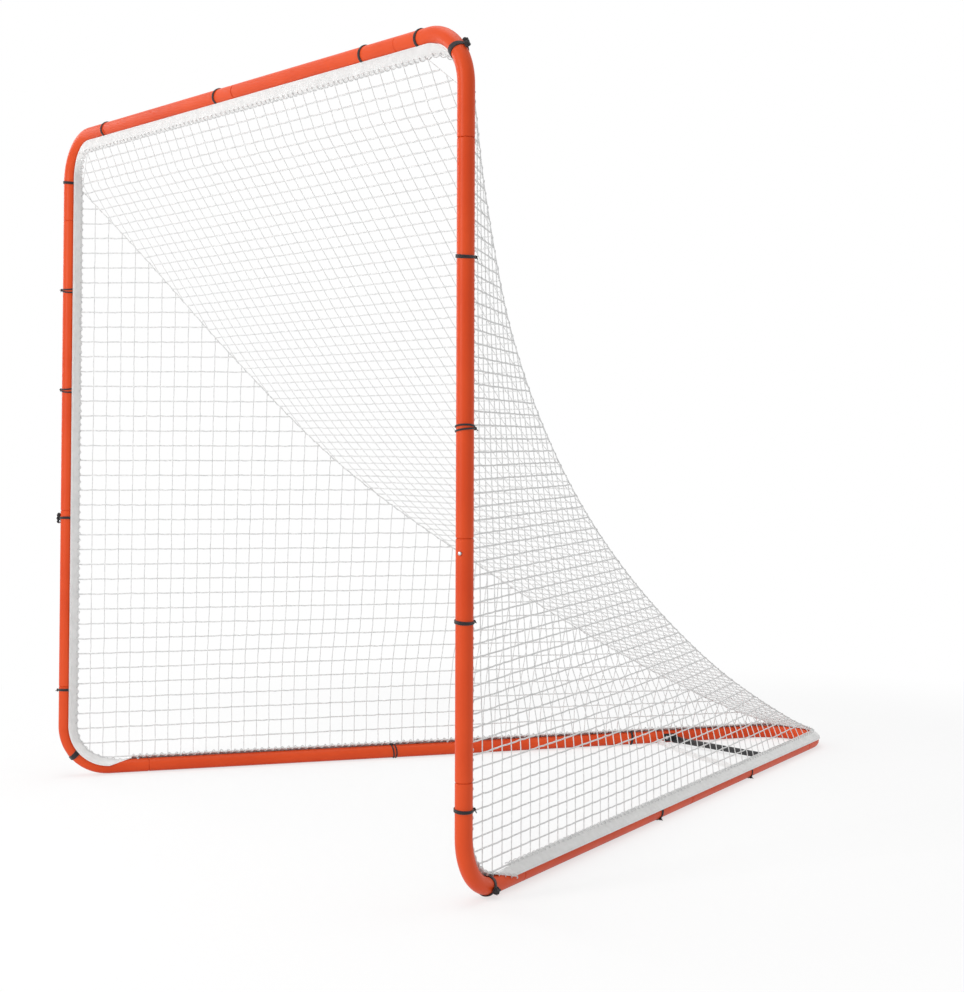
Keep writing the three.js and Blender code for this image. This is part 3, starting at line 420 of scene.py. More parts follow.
class Look(Nodes):
    """A material with its shader. Each thing that is done to it gives the look again."""

    def __init__(self, name, roughness, metallic=0.0):
        self.material = bpy.data.materials.new(name)
        self.material.use_nodes = True
        super().__init__(self.material.node_tree)
        self.shader = self.tree.nodes["Principled BSDF"]
        self.set(Roughness=roughness, Metallic=metallic)

    def set(self, **values):
        for key, value in values.items():
            self.shader.inputs[key.replace("_", " ")].default_value = value
        return self

    def place(self, kind="Object"):
        return self.node("ShaderNodeTexCoord").outputs[kind]

    def noise(self, scale, detail):
        noise = self.node("ShaderNodeTexNoise", Scale=scale, Detail=detail)
        self.link(self.place(), noise.inputs["Vector"])
        return noise.outputs["Fac"]

    def waves(self, scale, axis, kind="UV"):
        wave = self.node("ShaderNodeTexWave", Scale=scale, Distortion=0.0)
        wave.bands_direction = axis
        self.link(self.place(kind), wave.inputs["Vector"])
        return wave.outputs["Fac"]

    def color(self, first, second, scale, detail=3.0, span=(0.35, 0.65)):
        """The base colour goes from one colour to another as noise rises."""
        ramp = self.node("ShaderNodeValToRGB")
        for stop, position, color in zip(ramp.color_ramp.elements, span, (first, second)):
            stop.position = position
            stop.color = linear(color)
        self.link(self.noise(scale, detail), ramp.inputs["Fac"])
        self.link(ramp.outputs["Color"], self.shader.inputs["Base Color"])
        return self

    def rough(self, low, high, scale, detail=3.0):
        span = self.node("ShaderNodeMapRange", To_Min=low, To_Max=high)
        self.link(self.noise(scale, detail), span.inputs["Value"])
        self.link(span.outputs["Result"], self.shader.inputs["Roughness"])
        return self

    def bump(self, height, distance, strength):
        """Bumps add up: each goes over the one before."""
        bump = self.node("ShaderNodeBump", Distance=distance, Strength=strength)
        self.link(height, bump.inputs["Height"])
        normal = self.shader.inputs["Normal"]
        if normal.links:
            self.link(normal.links[0].from_socket, bump.inputs["Normal"])
        self.link(bump.outputs["Normal"], normal)
        return self

    def grain(self, scale, distance, strength, detail=2.0):
        return self.bump(self.noise(scale, detail), distance, strength)

    def twist(self, scale, strength):
        return self.bump(self.waves(scale, "DIAGONAL", "Object"), TWIST_HEIGHT, strength)

    def weave(self, warp_scale, weft_scale, distance, strength):
        both = self.node("ShaderNodeMath", "ADD")
        self.link(self.waves(warp_scale, "X"), both.inputs[0])
        self.link(self.waves(weft_scale, "Y"), both.inputs[1])
        return self.bump(both.outputs["Value"], distance, strength)

    def sheen(self, weight, roughness):
        return self.set(Sheen_Weight=weight, Sheen_Roughness=roughness)


def zinc(name, roughness):
    look = Look(name, roughness, metallic=0.9)
    look.color((170, 173, 178), (205, 207, 210), 260.0)
    look.rough(roughness - 0.08, roughness + 0.12, 900.0, 4.0).grain(1400.0, 0.00005, 0.4)
    return look.material


look = Look("orange_powder_coat", 0.4)
look.color((213, 71, 28), (223, 81, 35), 6.0, span=(0.3, 0.7)).rough(0.36, 0.5, 38.0)
look.set(Coat_Weight=0.04, Coat_Roughness=0.3, Specular_IOR_Level=0.18)
ORANGE = look.grain(420.0, 0.00012, 0.5).material

SPRING_ZINC = zinc("zinc_spring", 0.34)
HARDWARE_ZINC = zinc("zinc_hardware", 0.4)

look = Look("black_lace", 0.82).color((15, 14, 16), (40, 38, 42), 700.0, 4.0)
BLACK_CORD = look.sheen(0.25, 0.5).twist(1200.0, 0.6).grain(2600.0, 0.0002, 0.5, 3.0).material

look = Look("white_webbing", 0.78).color((243, 243, 242), (252, 252, 251), 55.0, 4.0)
look.sheen(0.3, 0.4).weave(900.0, 520.0, 0.00028, 0.7)
WEBBING = look.grain(1800.0, 0.00012, 0.5, 3.0).material

look = Look("white_net_cord", 0.72).color((214, 215, 215), (233, 233, 232), 140.0)
NET_CORD = look.sheen(0.25, 0.4).twist(900.0, 0.5).grain(2200.0, 0.00015, 0.4, 3.0).material

look = Look("stitch_thread", 0.6).color((214, 214, 213), (236, 236, 235), 900.0, 2.0)
THREAD = look.grain(3000.0, 0.0001, 0.5).material

look = Look("black_powder_coat", 0.42).color((20, 20, 22), (36, 36, 38), 30.0)
BLACK_STEEL = look.rough(0.36, 0.55, 90.0).grain(520.0, 0.00015, 0.5).material


# Snap buttons: one at each seam of the ring, in the plug's own tube

BUTTON_RADIUS = 0.004
BUTTON_PROUD = 0.004
BUTTON_CROWN = 0.0014
CROWN_FLATNESS = 0.8
HOLE_CLEARANCE = 0.0003
CLIP_INSET = 0.03
CLIP_TRAVEL = 0.006
CLIP_STEPS = 10
LEAF_WIDTH = 0.008
LEAF_THICKNESS = 0.0008
LEAF_LENGTH = 0.024
LEAF_HEEL = 0.006
LEAF_NOSE = 0.0025
LEAF_CURL = 0.85  # of half a turn, round the nose
LEAF_BACK_SHORT = 0.004
LEAF_BEVEL = 0.0002

BUTTON_DEG = 90  # rearward on posts and crossbar, upward on rails
MID_POST_DEG = -67.5
seams = [
    "bottom_right_post", "middle_right_post", "top_right_post",
    "right_crossbar", "middle_crossbar", "left_crossbar",
    "top_left_post", "middle_left_post", "bottom_left_post",
    "front_left_rail", "middle_left_rail", "rear_left_rail",
    "rear_right_rail", "middle_right_rail", "front_right_rail",
]

drills = {name: [] for name, *_ in ring}


def clip_place(index, degrees):
    """The button's point on the axis, its way out, and the way into the plug's own tube."""
    before, after = ring[index], ring[(index + 1) % len(ring)]
    plug_ends_before = before[3]
    line = before[1] if plug_ends_before else after[1]
    spot = line.at(line.length + CLIP_INSET if plug_ends_before else -CLIP_INSET)
    into = -spot.along if plug_ends_before else spot.along
    way = round_tube(spot, degrees)
    for tube in (before[0], after[0]):
        drills[tube].append((spot.point, way, BUTTON_RADIUS + HOLE_CLEARANCE))
    return spot.point, way, into


def clip_shape(point, way, into):
    side = into.cross(way)
    half = LEAF_WIDTH / 2
    top = math.sqrt((PLUG_BORE - GAP) ** 2 - half**2)
    leaf_y = top - LEAF_THICKNESS / 2
    nose = LEAF_NOSE / 2
    nose_x = LEAF_LENGTH - nose

    def at(x, y, z):
        return point + into * x + way * y + side * z

    # The leaf as a path from the heel, round the nose to the end of the back leaf
    path = [(-LEAF_HEEL, leaf_y), (0.0, leaf_y), (nose_x, leaf_y)]
    for i in range(1, CLIP_STEPS):
        angle = math.pi * (0.5 - i / CLIP_STEPS * LEAF_CURL)
        path.append((nose_x + nose * math.cos(angle), leaf_y - nose + nose * math.sin(angle)))
    end = (-LEAF_BACK_SHORT, CLIP_TRAVEL + GAP - top + LEAF_THICKNESS)
    path += np.linspace(path[-1], end, CLIP_STEPS + 1)[1:].tolist()
    line = np.array([at(x, y, 0) for x, y in path])
    across = np.array(side)
    over = np.cross(unit(np.gradient(line, axis=0)), across)
    section = rounded_box(half, LEAF_THICKNESS / 2, LEAF_BEVEL, 1)
    leaf = [[p + across * z + o * y for z, y in section] for p, o in zip(line, over)]

    # The button, with a domed tip
    tip = TUBE_RADIUS + BUTTON_PROUD
    profile = [(top - LEAF_THICKNESS, BUTTON_RADIUS)]
    for i in range(CLIP_STEPS + 1):
        angle = math.pi / 2 * i / CLIP_STEPS
        reach = BUTTON_RADIUS - BUTTON_CROWN + BUTTON_CROWN * math.cos(angle)
        height = tip - BUTTON_CROWN + BUTTON_CROWN * math.sin(angle) * CROWN_FLATNESS
        profile.append((height, reach))
    profile.append((tip, BUTTON_CROWN))
    button = [[at(r * c, y, r * s) for c, s in circle(ROUND_SIDES)] for y, r in profile]
    return Shape().loft(leaf).loft(button)


for i, seam in enumerate(seams):
    mid_post = seam in ("middle_right_post", "middle_left_post")
    shape = clip_shape(*clip_place(i, MID_POST_DEG if mid_post else BUTTON_DEG))
    rides, node = f"clip_{seam}", f"snap_clip_{seam}"
    add_piece(f"button_{seam}", shape, SPRING_ZINC, rides, [node])


# Ground brace with its tabs and bolts

BRACE_APEX_DISTANCE = 0.379
BRACE_RADIUS = 0.009
BRACE_DROP = 0.006
BRACE_TAPER = 0.06
BRACE_NECK = 0.025
BRACE_FLAT = (0.0022, 0.011)
BRACE_TAPER_STEPS = 8
TAB_LENGTH = 0.044
TAB_HEIGHT = 0.024
TAB_THICKNESS = 0.004
TAB_ROUND = 0.004
TAB_ROUND_STEPS = 6
TAB_EDGE = 0.97
TAB_FACE = 0.01972
BOLT_ASIDE = 0.012
BAR_ASIDE = 0.009
BOLT_SHANK = 0.003
BOLT_TIP = 0.8
BOLT_LENGTH = 0.022
BOLT_HEAD = 0.006
BOLT_HEAD_HEIGHT = 0.005
BOLT_HEAD_STEPS = 8
BOLT_RECESS = 0.0026
BOLT_HOLE = 0.0035
INWARD_DEG = 180

brace_along_rail = (APEX_REAR_Y - MOUTH_Y - BRACE_APEX_DISTANCE) / LEFT_RAIL_WAY.y
brace_spots = {
    "left": left_rail_run.at(brace_along_rail),
    "right": right_rail_run.at(RAIL_LENGTH - brace_along_rail),
}


def rearward(spot):
    return spot.along if spot.along.y > 0 else -spot.along


def add_brace():
    shape = Shape()
    outline = rounded_box(TAB_LENGTH / 2, TAB_HEIGHT / 2, TAB_ROUND, TAB_ROUND_STEPS)
    half = TAB_THICKNESS / 2
    depths = [(-half, TAB_EDGE), (-half + LIP, 1), (half - LIP, 1), (half, TAB_EDGE)]
    ends = []
    for spot in brace_spots.values():
        way = round_tube(spot, INWARD_DEG)
        middle = spot.point + way * (TAB_FACE + half)
        ahead = rearward(spot)
        rings = [
            [middle + way * depth + ahead * x * k + UP * z * k for x, z in outline]
            for depth, k in depths
        ]
        shape.loft(rings)
        ends.append(middle + ahead * BAR_ASIDE)
    end = ends[0]
    start_x = -abs(end.x)
    stations = [(start_x, 0.0)]
    for i in range(BRACE_TAPER_STEPS + 1):
        share = i / BRACE_TAPER_STEPS
        stations.append((start_x + mixed(BRACE_NECK, BRACE_TAPER, share), share))
    stations += [(-x, share) for x, share in reversed(stations)]
    rings = []
    for x, share in stations:
        eased = float(smooth_step(share, 0, 1))
        depth, height = (mixed(flat, BRACE_RADIUS, eased) for flat in BRACE_FLAT)
        y, z = end.y, RAIL_Z - BRACE_DROP
        rings.append([(x, y + depth * c, z + height * s) for c, s in circle(ROUND_SIDES)])
    shape.loft(rings)
    add_piece("brace", shape, BLACK_STEEL, stands_for=["rear_brace"])


def add_bolt(name, spot):
    way = round_tube(spot, INWARD_DEG)
    point = spot.point - rearward(spot) * BOLT_ASIDE
    face = TAB_FACE + TAB_THICKNESS
    seat = face + GAP
    recess = seat + BOLT_HEAD_HEIGHT - BOLT_RECESS
    profile = [
        (face - BOLT_LENGTH, BOLT_SHANK * BOLT_TIP),
        (face - BOLT_LENGTH + LIP, BOLT_SHANK),
        (seat, BOLT_SHANK),
        (seat, BOLT_HEAD - LIP),
        (seat + LIP, BOLT_HEAD),
    ]
    for i in range(BOLT_HEAD_STEPS + 1):
        angle = math.pi / 2 * i / BOLT_HEAD_STEPS
        height = seat + LIP + (BOLT_HEAD_HEIGHT - LIP) * math.sin(angle)
        profile.append((height, mixed(BOLT_RECESS, BOLT_HEAD, math.cos(angle))))
    profile += [(recess, BOLT_RECESS), (recess, LIP)]
    shape = Shape().loft(lathe(point, way, spot.along, profile))
    node = f"brace_bolt_{name}"
    add_piece(f"bolt_{name}", shape, HARDWARE_ZINC, stands_for=[node])
    drills[f"{name}_rail_rear"].append((point, way, BOLT_HOLE))


add_brace()
for side_name, side_spot in brace_spots.items():
    add_bolt(side_name, side_spot)


# Tubes, drilled for their buttons and bolts

TUBE_SHARP_DEG = 30  # less than the swage's slope, so that its edge doesn't shade the long tube
DRILL_OVERRUN = 0.004


def tube_stations(line, start_plug, end_plug):
    start = GAP / 2
    end = line.length - GAP / 2
    arc_steps = range(BEND_STEPS + 1) if line.arc else []
    middle = [line.arc_start + line.arc * i / BEND_STEPS for i in arc_steps]

    def profile(body, nose, lip):
        first = [(start, body - lip), (start + LIP, body)]
        if start_plug:
            first = [(start - PLUG_LENGTH, nose), (start, nose), (start + SWAGE, body)]
        last = [(end - LIP, body), (end, body - lip)]
        if end_plug:
            last = [(end - SWAGE, body), (end, nose), (end + PLUG_LENGTH, nose)]
        return first + [(s, body) for s in middle] + last

    return profile(TUBE_RADIUS, PLUG_RADIUS, LIP) + profile(BORE, PLUG_BORE, -LIP / 2)[::-1]


def drilled(piece, holes):
    """Cuts round holes outwards from the tube's axis."""
    shape = Shape()
    for point, way, radius in holes:
        side = way.orthogonal().normalized()
        shape.loft(lathe(point, way, side, [(0, radius), (TUBE_RADIUS + DRILL_OVERRUN, radius)]))
    drill = add_object("drill", mesh_of("drill", shape))
    cutter = piece.modifiers.new("drill", "BOOLEAN")
    cutter.operation = "DIFFERENCE"
    cutter.solver = "EXACT"
    cutter.object = drill
    bpy.context.view_layer.update()
    evaluated = piece.evaluated_get(bpy.context.evaluated_depsgraph_get())
    cut_mesh = bpy.data.meshes.new_from_object(evaluated)
    piece.modifiers.clear()
    piece.data = cut_mesh
    bpy.data.objects.remove(drill)
    shade(cut_mesh, TUBE_SHARP_DEG)


for name, line, start_plug, end_plug in ring:
    rings = [ring_at(line.at(s), r) for s, r in tube_stations(line, start_plug, end_plug)]
    tube = add_piece(
        f"tube_{name}",
        Shape().loft(rings, closed=True),
        ORANGE,
        stands_for=[name],
        sharp_deg=TUBE_SHARP_DEG,
    )
    if drills[name]:
        drilled(tube, drills[name])


# Laces and lashings: turns of cord round a tube, a knot and two tails

LACE_RADIUS = 0.0204
LACE_HALF_WIDTH = 0.0021
LACE_FLAT = 0.62
LACE_POINTS = 72
LACE_SIDES = 8
FLAT_UNDER_RAIL = 0.0013
KNOT_CORD = 0.0015
KNOT_POINTS = 60
KNOT_SHAPE = np.array((0.5, 0.42, 0.26))  # half widths as shares of the knot's size
KNOT_FLAT = 0.9
KNOT_PINCH = 0.25  # how far apart the turns lie under the knot
KNOT_LIFT = 0.34
KNOT_STEP = 0.8
KNOT_STAGGER = 0.001
KNOT_LEAN = 0.7
TAIL_LENGTH = 0.0075
TAIL_SHARES = (0.75, 1.1)
TAIL_POINTS = 10
TAIL_LIFT = 0.75
TAIL_SPREAD = 0.5
TAIL_BEND = 0.35
TAIL_DROOP = 0.45
TAIL_THIN = 0.75
TAIL_FLAT = 0.8

random = np.random.RandomState(17)


def knot_paths(centre, outward, across, along, size, lean):
    """One small knot as a three-lobed loop, with its two loose tails."""
    t = np.linspace(0, 2 * math.pi, KNOT_POINTS, endpoint=False) + lean
    x = (np.sin(t) + 2 * np.sin(2 * t)) / 3
    y = (np.cos(t) - 2 * np.cos(2 * t)) / 3
    z = -np.sin(3 * t)
    centre = np.array(centre)
    across, along, outward = axes = np.array((across, along, outward))
    loop = centre + np.stack([x, y, z], 1) * (size * KNOT_SHAPE) @ axes
    tails = []
    for sign in (1, -1):
        s = np.linspace(0, 1, TAIL_POINTS)[:, None]
        bend = random.uniform(-TAIL_BEND, TAIL_BEND)
        way = outward * TAIL_LIFT + across * sign + along * (sign * TAIL_SPREAD + bend)
        length = TAIL_LENGTH * random.uniform(*TAIL_SHARES)
        path = centre + unit(way) * s * length
        path[:, 2:] -= s**2 * length * TAIL_DROOP
        keep_above(path, KNOT_CORD)
        tails.append(path)
    return loop, tails


def add_lace(name, spot, knot_deg, lace):
    shape = Shape()
    angles = np.linspace(0, 2 * math.pi, LACE_POINTS, endpoint=False)
    out, back, along = (np.array(v) for v in (spot.out, spot.back, spot.along))
    radial = np.cos(angles)[:, None] * out + np.sin(angles)[:, None] * back
    from_knot = angles - math.radians(knot_deg)
    for turn in lace.turns:
        spread = mixed(KNOT_PINCH, 1, np.abs(np.sin(from_knot / 2)))
        offset = turn * spread + lace.slant * np.sin(from_knot)
        path = np.array(spot.point) + radial * LACE_RADIUS + offset[:, None] * along
        keep_above(path, FLAT_UNDER_RAIL)
        shape.cord(path, LACE_HALF_WIDTH, LACE_SIDES, along, LACE_FLAT, closed=True)
    outward = round_tube(spot, knot_deg)
    across = spot.along.cross(outward)
    cord = KNOT_CORD * lace.size / LACE_KNOT
    for i in range(lace.knots):
        shift = (i - (lace.knots - 1) / 2) * lace.size * KNOT_STEP
        lift = LACE_RADIUS + lace.size * KNOT_LIFT + KNOT_STAGGER * (i % 2)
        centre = spot.point + outward * lift + spot.along * shift
        lean = i * KNOT_LEAN
        loop, tails = knot_paths(centre, outward, across, spot.along, lace.size, lean)
        keep_above(loop, cord)
        shape.cord(loop, cord, LACE_SIDES, outward, KNOT_FLAT, closed=True)
        for tail in tails:
            thin = np.linspace(KNOT_CORD, KNOT_CORD * TAIL_THIN, TAIL_POINTS)
            shape.cord(tail, thin, LACE_SIDES, outward, TAIL_FLAT)
    add_piece(name + "_cord", shape, BLACK_CORD, stands_for=[name])


LACE_TURNS = (-0.0019, 0.0019)
PAIR_TURNS = (-0.0052, 0.0052)
LASHING_TURNS = (-0.0058, -0.0029, 0.0, 0.0029, 0.0058)
LACE_KNOT = 0.0072
BLOCK_KNOT = 0.0115
LASHING_KNOT = 0.0125
LACE_SLANT = 0.0022
PAIR_SLANT = -0.0035
BAR_SLANT = 0.0035

Lace = namedtuple("Lace", "turns slant size knots")
single = Lace(LACE_TURNS, LACE_SLANT, LACE_KNOT, 1)
pair = Lace(PAIR_TURNS, PAIR_SLANT, LACE_KNOT, 1)
block = Lace(LACE_TURNS, LACE_SLANT, BLOCK_KNOT, 3)
over_bar = Lace(LACE_TURNS, BAR_SLANT, LACE_KNOT, 1)
lashed = Lace(LASHING_TURNS, PAIR_SLANT, LASHING_KNOT, 2)

JOINT_DISTANCE = 0.022
LEFT_BRACE_DISTANCE = 0.128
RIGHT_BRACE_DISTANCE = 0.268
RAIL_LACE = 0.3855 * RAIL_LENGTH

# For each run of tube, each lace's distance along it, the angle of its knot, and its kind
right_post_laces = [
    (0.735 * BAR_Z, 75, single),
    (0.5395 * BAR_Z, 75, pair),
    (0.3205 * BAR_Z, 80, single),
    (0.109 * BAR_Z, 70, single),
]
left_post_laces = [
    (BAR_Z - 0.931 * BAR_Z, 75, single),
    (BAR_Z - 0.7615 * BAR_Z, -50, pair),
    (BAR_Z - 0.6045 * BAR_Z, -45, pair),
    (post_rest + JOINT_DISTANCE, -50, block),
    (BAR_Z - 0.134 * BAR_Z, -48, single),
]
crossbar_laces = [
    (2 * POST_X * 0.085, 75, over_bar),
    (2 * POST_X * 0.1985, 70, over_bar),
    (2 * POST_X * 0.546, 78, over_bar),
    (2 * POST_X * 0.8775, 72, over_bar),
]
left_rail_laces = [
    (RAIL_LACE, -48, pair),
    (brace_along_rail - LEFT_BRACE_DISTANCE, -48, single),
]
right_rail_laces = [
    (RAIL_LENGTH - RAIL_LACE, -48, pair),
    (RAIL_LENGTH - brace_along_rail + RIGHT_BRACE_DISTANCE, -48, single),
]
runs = [
    ("right_post", right_post_run, right_post_laces),
    ("left_post", left_post_run, left_post_laces),
    ("crossbar", bar_run, crossbar_laces),
    ("left_rail", left_rail_run, left_rail_laces),
    ("right_rail", right_rail_run, right_rail_laces),
]
for run_name, run, row in runs:
    for i, (s, knot_deg, kind) in enumerate(row):
        add_lace(f"lace_{run_name}_{i + 1}", run.at(s), knot_deg, kind)

# Each lashing's bend, its share of the bend's arc, and the angle of its knots
lashings = [
    ("top_right", right_top_bend, 0.42, 15),
    ("right_foot", right_foot_bend, 0.13, 75),
    ("left_foot", left_foot_bend, 0.44, 60),
]
for name, bend, share, knot_deg in lashings:
    add_lace(f"lashing_{name}", bend.at(bend.arc_start + share * bend.arc), knot_deg, lashed)


# Border tape: its section lies round the tube, or hangs under the crossbar

TAPE_WIDTH = 0.033
TAPE_THICKNESS = 0.0014
TAPE_INNER = 0.0223
TAPE_HANG_FRONT = 0.008
TAPE_HANG_TOP = 0.0186
TAPE_BEND_EASE = 0.003
TAPE_HAND_OVER = 0.19
TAPE_POINTS = 11
TAPE_STEP = 0.009
TAPE_ON_POST_DEG = (182, 156)
TAPE_ON_RAIL_DEG = (20, 62)
TAPE_FOOT_TOP_DEG = 80
TAPE_FOOT_TURN_DEG = 66
TAPE_SPAN_RADIUS = 0.02207
TAPE_SPAN_DEG = math.degrees(TAPE_WIDTH / TAPE_SPAN_RADIUS)
TAPE_WAVE = 0.0011
TAPE_RIPPLES = ((1.0, 31.0, 0.0), (0.7, 53.0, 1.3), (0.5, 97.0, 0.0))  # size, pace, start
RIPPLE_MIDDLE = 0.55
RIPPLE_SHARE = 0.3
FAR_EDGE_SHARE = 0.4
WEBBING_SHARP_DEG = 60
STITCH_INSET_SHARES = (0.13, 0.87)
STITCH_LENGTH = 0.0032
STITCH_PITCH = 0.0046
STITCH_RADIUS = 0.00032
STITCH_HEIGHTS = np.array((-0.2, 0.7, -0.2)) * STITCH_RADIUS
STITCH_SIDES = 4

foot_turn = 90 - math.degrees(math.atan2(POST_X, APEX_REACH))
foot_rail = TAPE_FOOT_TOP_DEG + 90
tape_shares = np.linspace(0, 1, TAPE_POINTS)


def out_and_back(angles):
    return np.stack([np.cos(angles), np.sin(angles)], 1)


def hugging(net_edge_deg, ease=0.0):
    """Faces and normals of the tape round a tube, as (out, back) pairs."""
    normals = out_and_back(np.radians(net_edge_deg + tape_shares * TAPE_SPAN_DEG))
    return np.stack([normals * (TAPE_INNER + ease), normals])


def lifting(degrees, ease=0.0):
    """Hugs the tube from the tape's far edge to a second angle, then leaves it straight, as
    the net pulls it."""
    radius = TAPE_INNER + ease
    far, leave = np.radians(degrees)
    sign = math.copysign(1, leave - far)
    distance = (1 - tape_shares) * TAPE_WIDTH
    arc = abs(leave - far) * radius
    normals = out_and_back(far + sign * np.minimum(distance, arc) / radius)
    tail = np.maximum(distance - arc, 0)[:, None]
    away = sign * np.array((-math.sin(leave), math.cos(leave)))
    return np.stack([normals * radius + tail * away, normals])


def turned(section, degrees):
    angle = math.radians(degrees)
    turn = np.array(((math.cos(angle), math.sin(angle)), (-math.sin(angle), math.cos(angle))))
    return section @ turn


def hanging():
    down = -TAPE_HANG_TOP - (1 - tape_shares) * TAPE_WIDTH
    faces = np.stack([down, np.full(TAPE_POINTS, -TAPE_HANG_FRONT)], 1)
    return np.stack([faces, np.tile((0.0, -1.0), (TAPE_POINTS, 1))])


def steps_between(start, end):
    return np.linspace(start, end, max(2, round(abs(end - start) / TAPE_STEP) + 1))


def leg(run, start, end, first, last):
    """Stations along a straight tube, from one section to another."""
    places = steps_between(start, end)
    shares = (places - start) / (end - start)
    return [(run.at(s), mixed(first, last, share)) for s, share in zip(places, shares)]


def round_bend(line, section_at, mirrored=False):
    stations = []
    for s in steps_between(line.arc_start, line.arc_start + line.arc):
        share = (s - line.arc_start) / line.arc
        ease = TAPE_BEND_EASE * math.sin(math.pi * share)
        stations.append((line.at(s), section_at(1 - share if mirrored else share, ease)))
    return stations


def mouth_tape_stations():
    on_post = lifting(TAPE_ON_POST_DEG)
    on_foot = hugging(TAPE_FOOT_TOP_DEG)
    on_rail = hugging(TAPE_FOOT_TOP_DEG - TAPE_FOOT_TURN_DEG)
    under_bar = hanging()

    def up_foot(share, ease):
        on_post_turned = turned(lifting(TAPE_ON_POST_DEG, ease), foot_turn)
        return mixed(hugging(foot_rail, ease), on_post_turned, share)

    def rise(share, ease):
        return mixed(lifting(TAPE_ON_POST_DEG, ease), under_bar, share)

    hand_over = RAIL_LENGTH - TAPE_HAND_OVER
    radius = CORNER_RADIUS
    post_start = RAIL_Z + radius
    parts = [
        leg(right_rail_run, hand_over, RAIL_LENGTH - corner_reach, on_rail, on_foot),
        round_bend(right_foot_bend, up_foot),
        leg(right_post_run, post_start, BAR_Z - radius, on_post, on_post),
        round_bend(right_top_bend, rise),
        leg(bar_run, radius, 2 * POST_X - radius, under_bar, under_bar),
        round_bend(left_top_bend, rise, mirrored=True),
        leg(left_post_run, radius, BAR_Z - post_start, on_post, on_post),
        round_bend(left_foot_bend, up_foot, mirrored=True),
        leg(left_rail_run, corner_reach, TAPE_HAND_OVER, on_foot, on_rail),
    ]
    # Each part ends where the next one starts.
    return [station for part in parts[:-1] for station in part[:-1]] + parts[-1]


def rail_tape_stations(rail_at, bend_at):
    section = lifting(TAPE_ON_RAIL_DEG)
    on_rail = steps_between(TAPE_HAND_OVER + GAP, RAIL_LENGTH - apex_leg + APEX_LEG)[:-1]
    to_apex = steps_between(rear_bend.arc_start, rear_bend.arc_start + rear_bend.arc / 2 - GAP)
    spots = [rail_at(s) for s in on_rail] + [bend_at(s) for s in to_apex]
    return [(spot, section) for spot in spots]


def tape_faces(stations):
    """Rows of points on the tape's inner and outer face, from its net edge on, with the
    distance along the tape."""
    distance = distances([spot.point for spot, _ in stations])
    inner, outer = [], []
    for s, (spot, (faces, normals)) in zip(distance, stations):
        out, back = np.array(spot.out), np.array(spot.back)
        ripple = sum(size * math.sin(s * pace + start) for size, pace, start in TAPE_RIPPLES)
        lift = TAPE_WAVE * (RIPPLE_MIDDLE + RIPPLE_SHARE * ripple)
        lifts = lift * mixed(1, FAR_EDGE_SHARE, tape_shares)[:, None]
        normal = normals[:, :1] * out + normals[:, 1:] * back
        base = np.array(spot.point) + faces[:, :1] * out + faces[:, 1:] * back + normal * lifts
        inner.append(base)
        outer.append(base + normal * TAPE_THICKNESS)
    return np.array(inner), np.array(outer), distance


def add_webbing(name, node, rings, places):
    """A skin of webbing over rings, with its UV map in metres."""
    shape = Shape().loft(rings)
    piece = add_piece(
        name, shape, WEBBING, stands_for=[node], sharp_deg=WEBBING_SHARP_DEG
    )
    add_uv(piece, places)


def add_tape(name, inner, outer, distance):
    across = np.concatenate([tape_shares, tape_shares[::-1]]) * TAPE_WIDTH
    places = [(u, v) for v in distance for u in across]
    rings = np.concatenate([inner, outer[:, ::-1]], 1)
    add_webbing(name + "_webbing", name, rings, np.array(places))


def add_stitches(name, inner, outer, distance):
    """Two rows of machine stitches on the tape's outer face."""
    shape = Shape()
    for share in STITCH_INSET_SHARES:
        column = share * (TAPE_POINTS - 1)
        low = int(column)
        line = mixed(outer[:, low], outer[:, low + 1], column - low)
        normal = outer[:, low] - inner[:, low]
        for start in np.arange(STITCH_PITCH, distance[-1] - STITCH_PITCH, STITCH_PITCH):
            places = start + np.array((0, 0.5, 1)) * STITCH_LENGTH
            way = unit(looked_up(start, distance, normal))
            points = looked_up(places, distance, line) + STITCH_HEIGHTS[:, None] * way
            shape.cord(points, STITCH_RADIUS, STITCH_SIDES, way)
    add_piece(name + "_stitches", shape, THREAD)


tapes = {
    "mouth_tape": mouth_tape_stations(),
    "left_rail_tape": rail_tape_stations(left_rail_run.at, rear_bend.at),
    "right_rail_tape": rail_tape_stations(
        lambda s: right_rail_run.at(RAIL_LENGTH - s),
        lambda s: rear_bend.at(rear_bend.length - s),
    ),
}
tape_lines = {name: tape_faces(stations) for name, stations in tapes.items()}
for name, lines in tape_lines.items():
    add_tape(name, *lines)
    add_stitches(name, *lines)


# Net surfaces. A side of the goal is the upright plane of its rail, with the way along the
# rail from the foot corner and the way in towards the goal's middle.

# The net is hung unevenly: its cells are flat on the right and behind, tall on the left.
LEFT_CELL = (0.0373, 0.0432)
RIGHT_CELL = (0.045, 0.029)
BACK_CELL = (0.045, 0.0285)
SIDE_CORDS = (0.0019, 0.0013)
BACK_CORDS = (0.0019, 0.0009)
NET_SIDES = 6
NET_EDGE_CORD = 0.002
SEAM_TOP_DEPTH = 0.148
SEAM_APEX_DISTANCE = 0.283
SEAM_INWARD = 0.17
SEAM_STEPS = 24
SETTLE_LENGTH = 0.3
EDGE_GAP = 0.0005
FOOT_HUG_SHARE = 0.25
FOOT_HUG_POWER = 4
LEAST_WIDTH = 0.001
# The seam's height, its reach along the rail and its bow inwards, each as a share
seam_shares = [
    (1.0, 0.0, 0.0),
    (0.88, 0.079, 0.4),
    (0.7, 0.195, 0.81),
    (0.517, 0.332, 0.97),
    (0.335, 0.521, 1.0),
    (0.154, 0.746, 0.7),
    (0.034, 0.93, 0.235),
    (0.0, 1.0, 0.076),
]

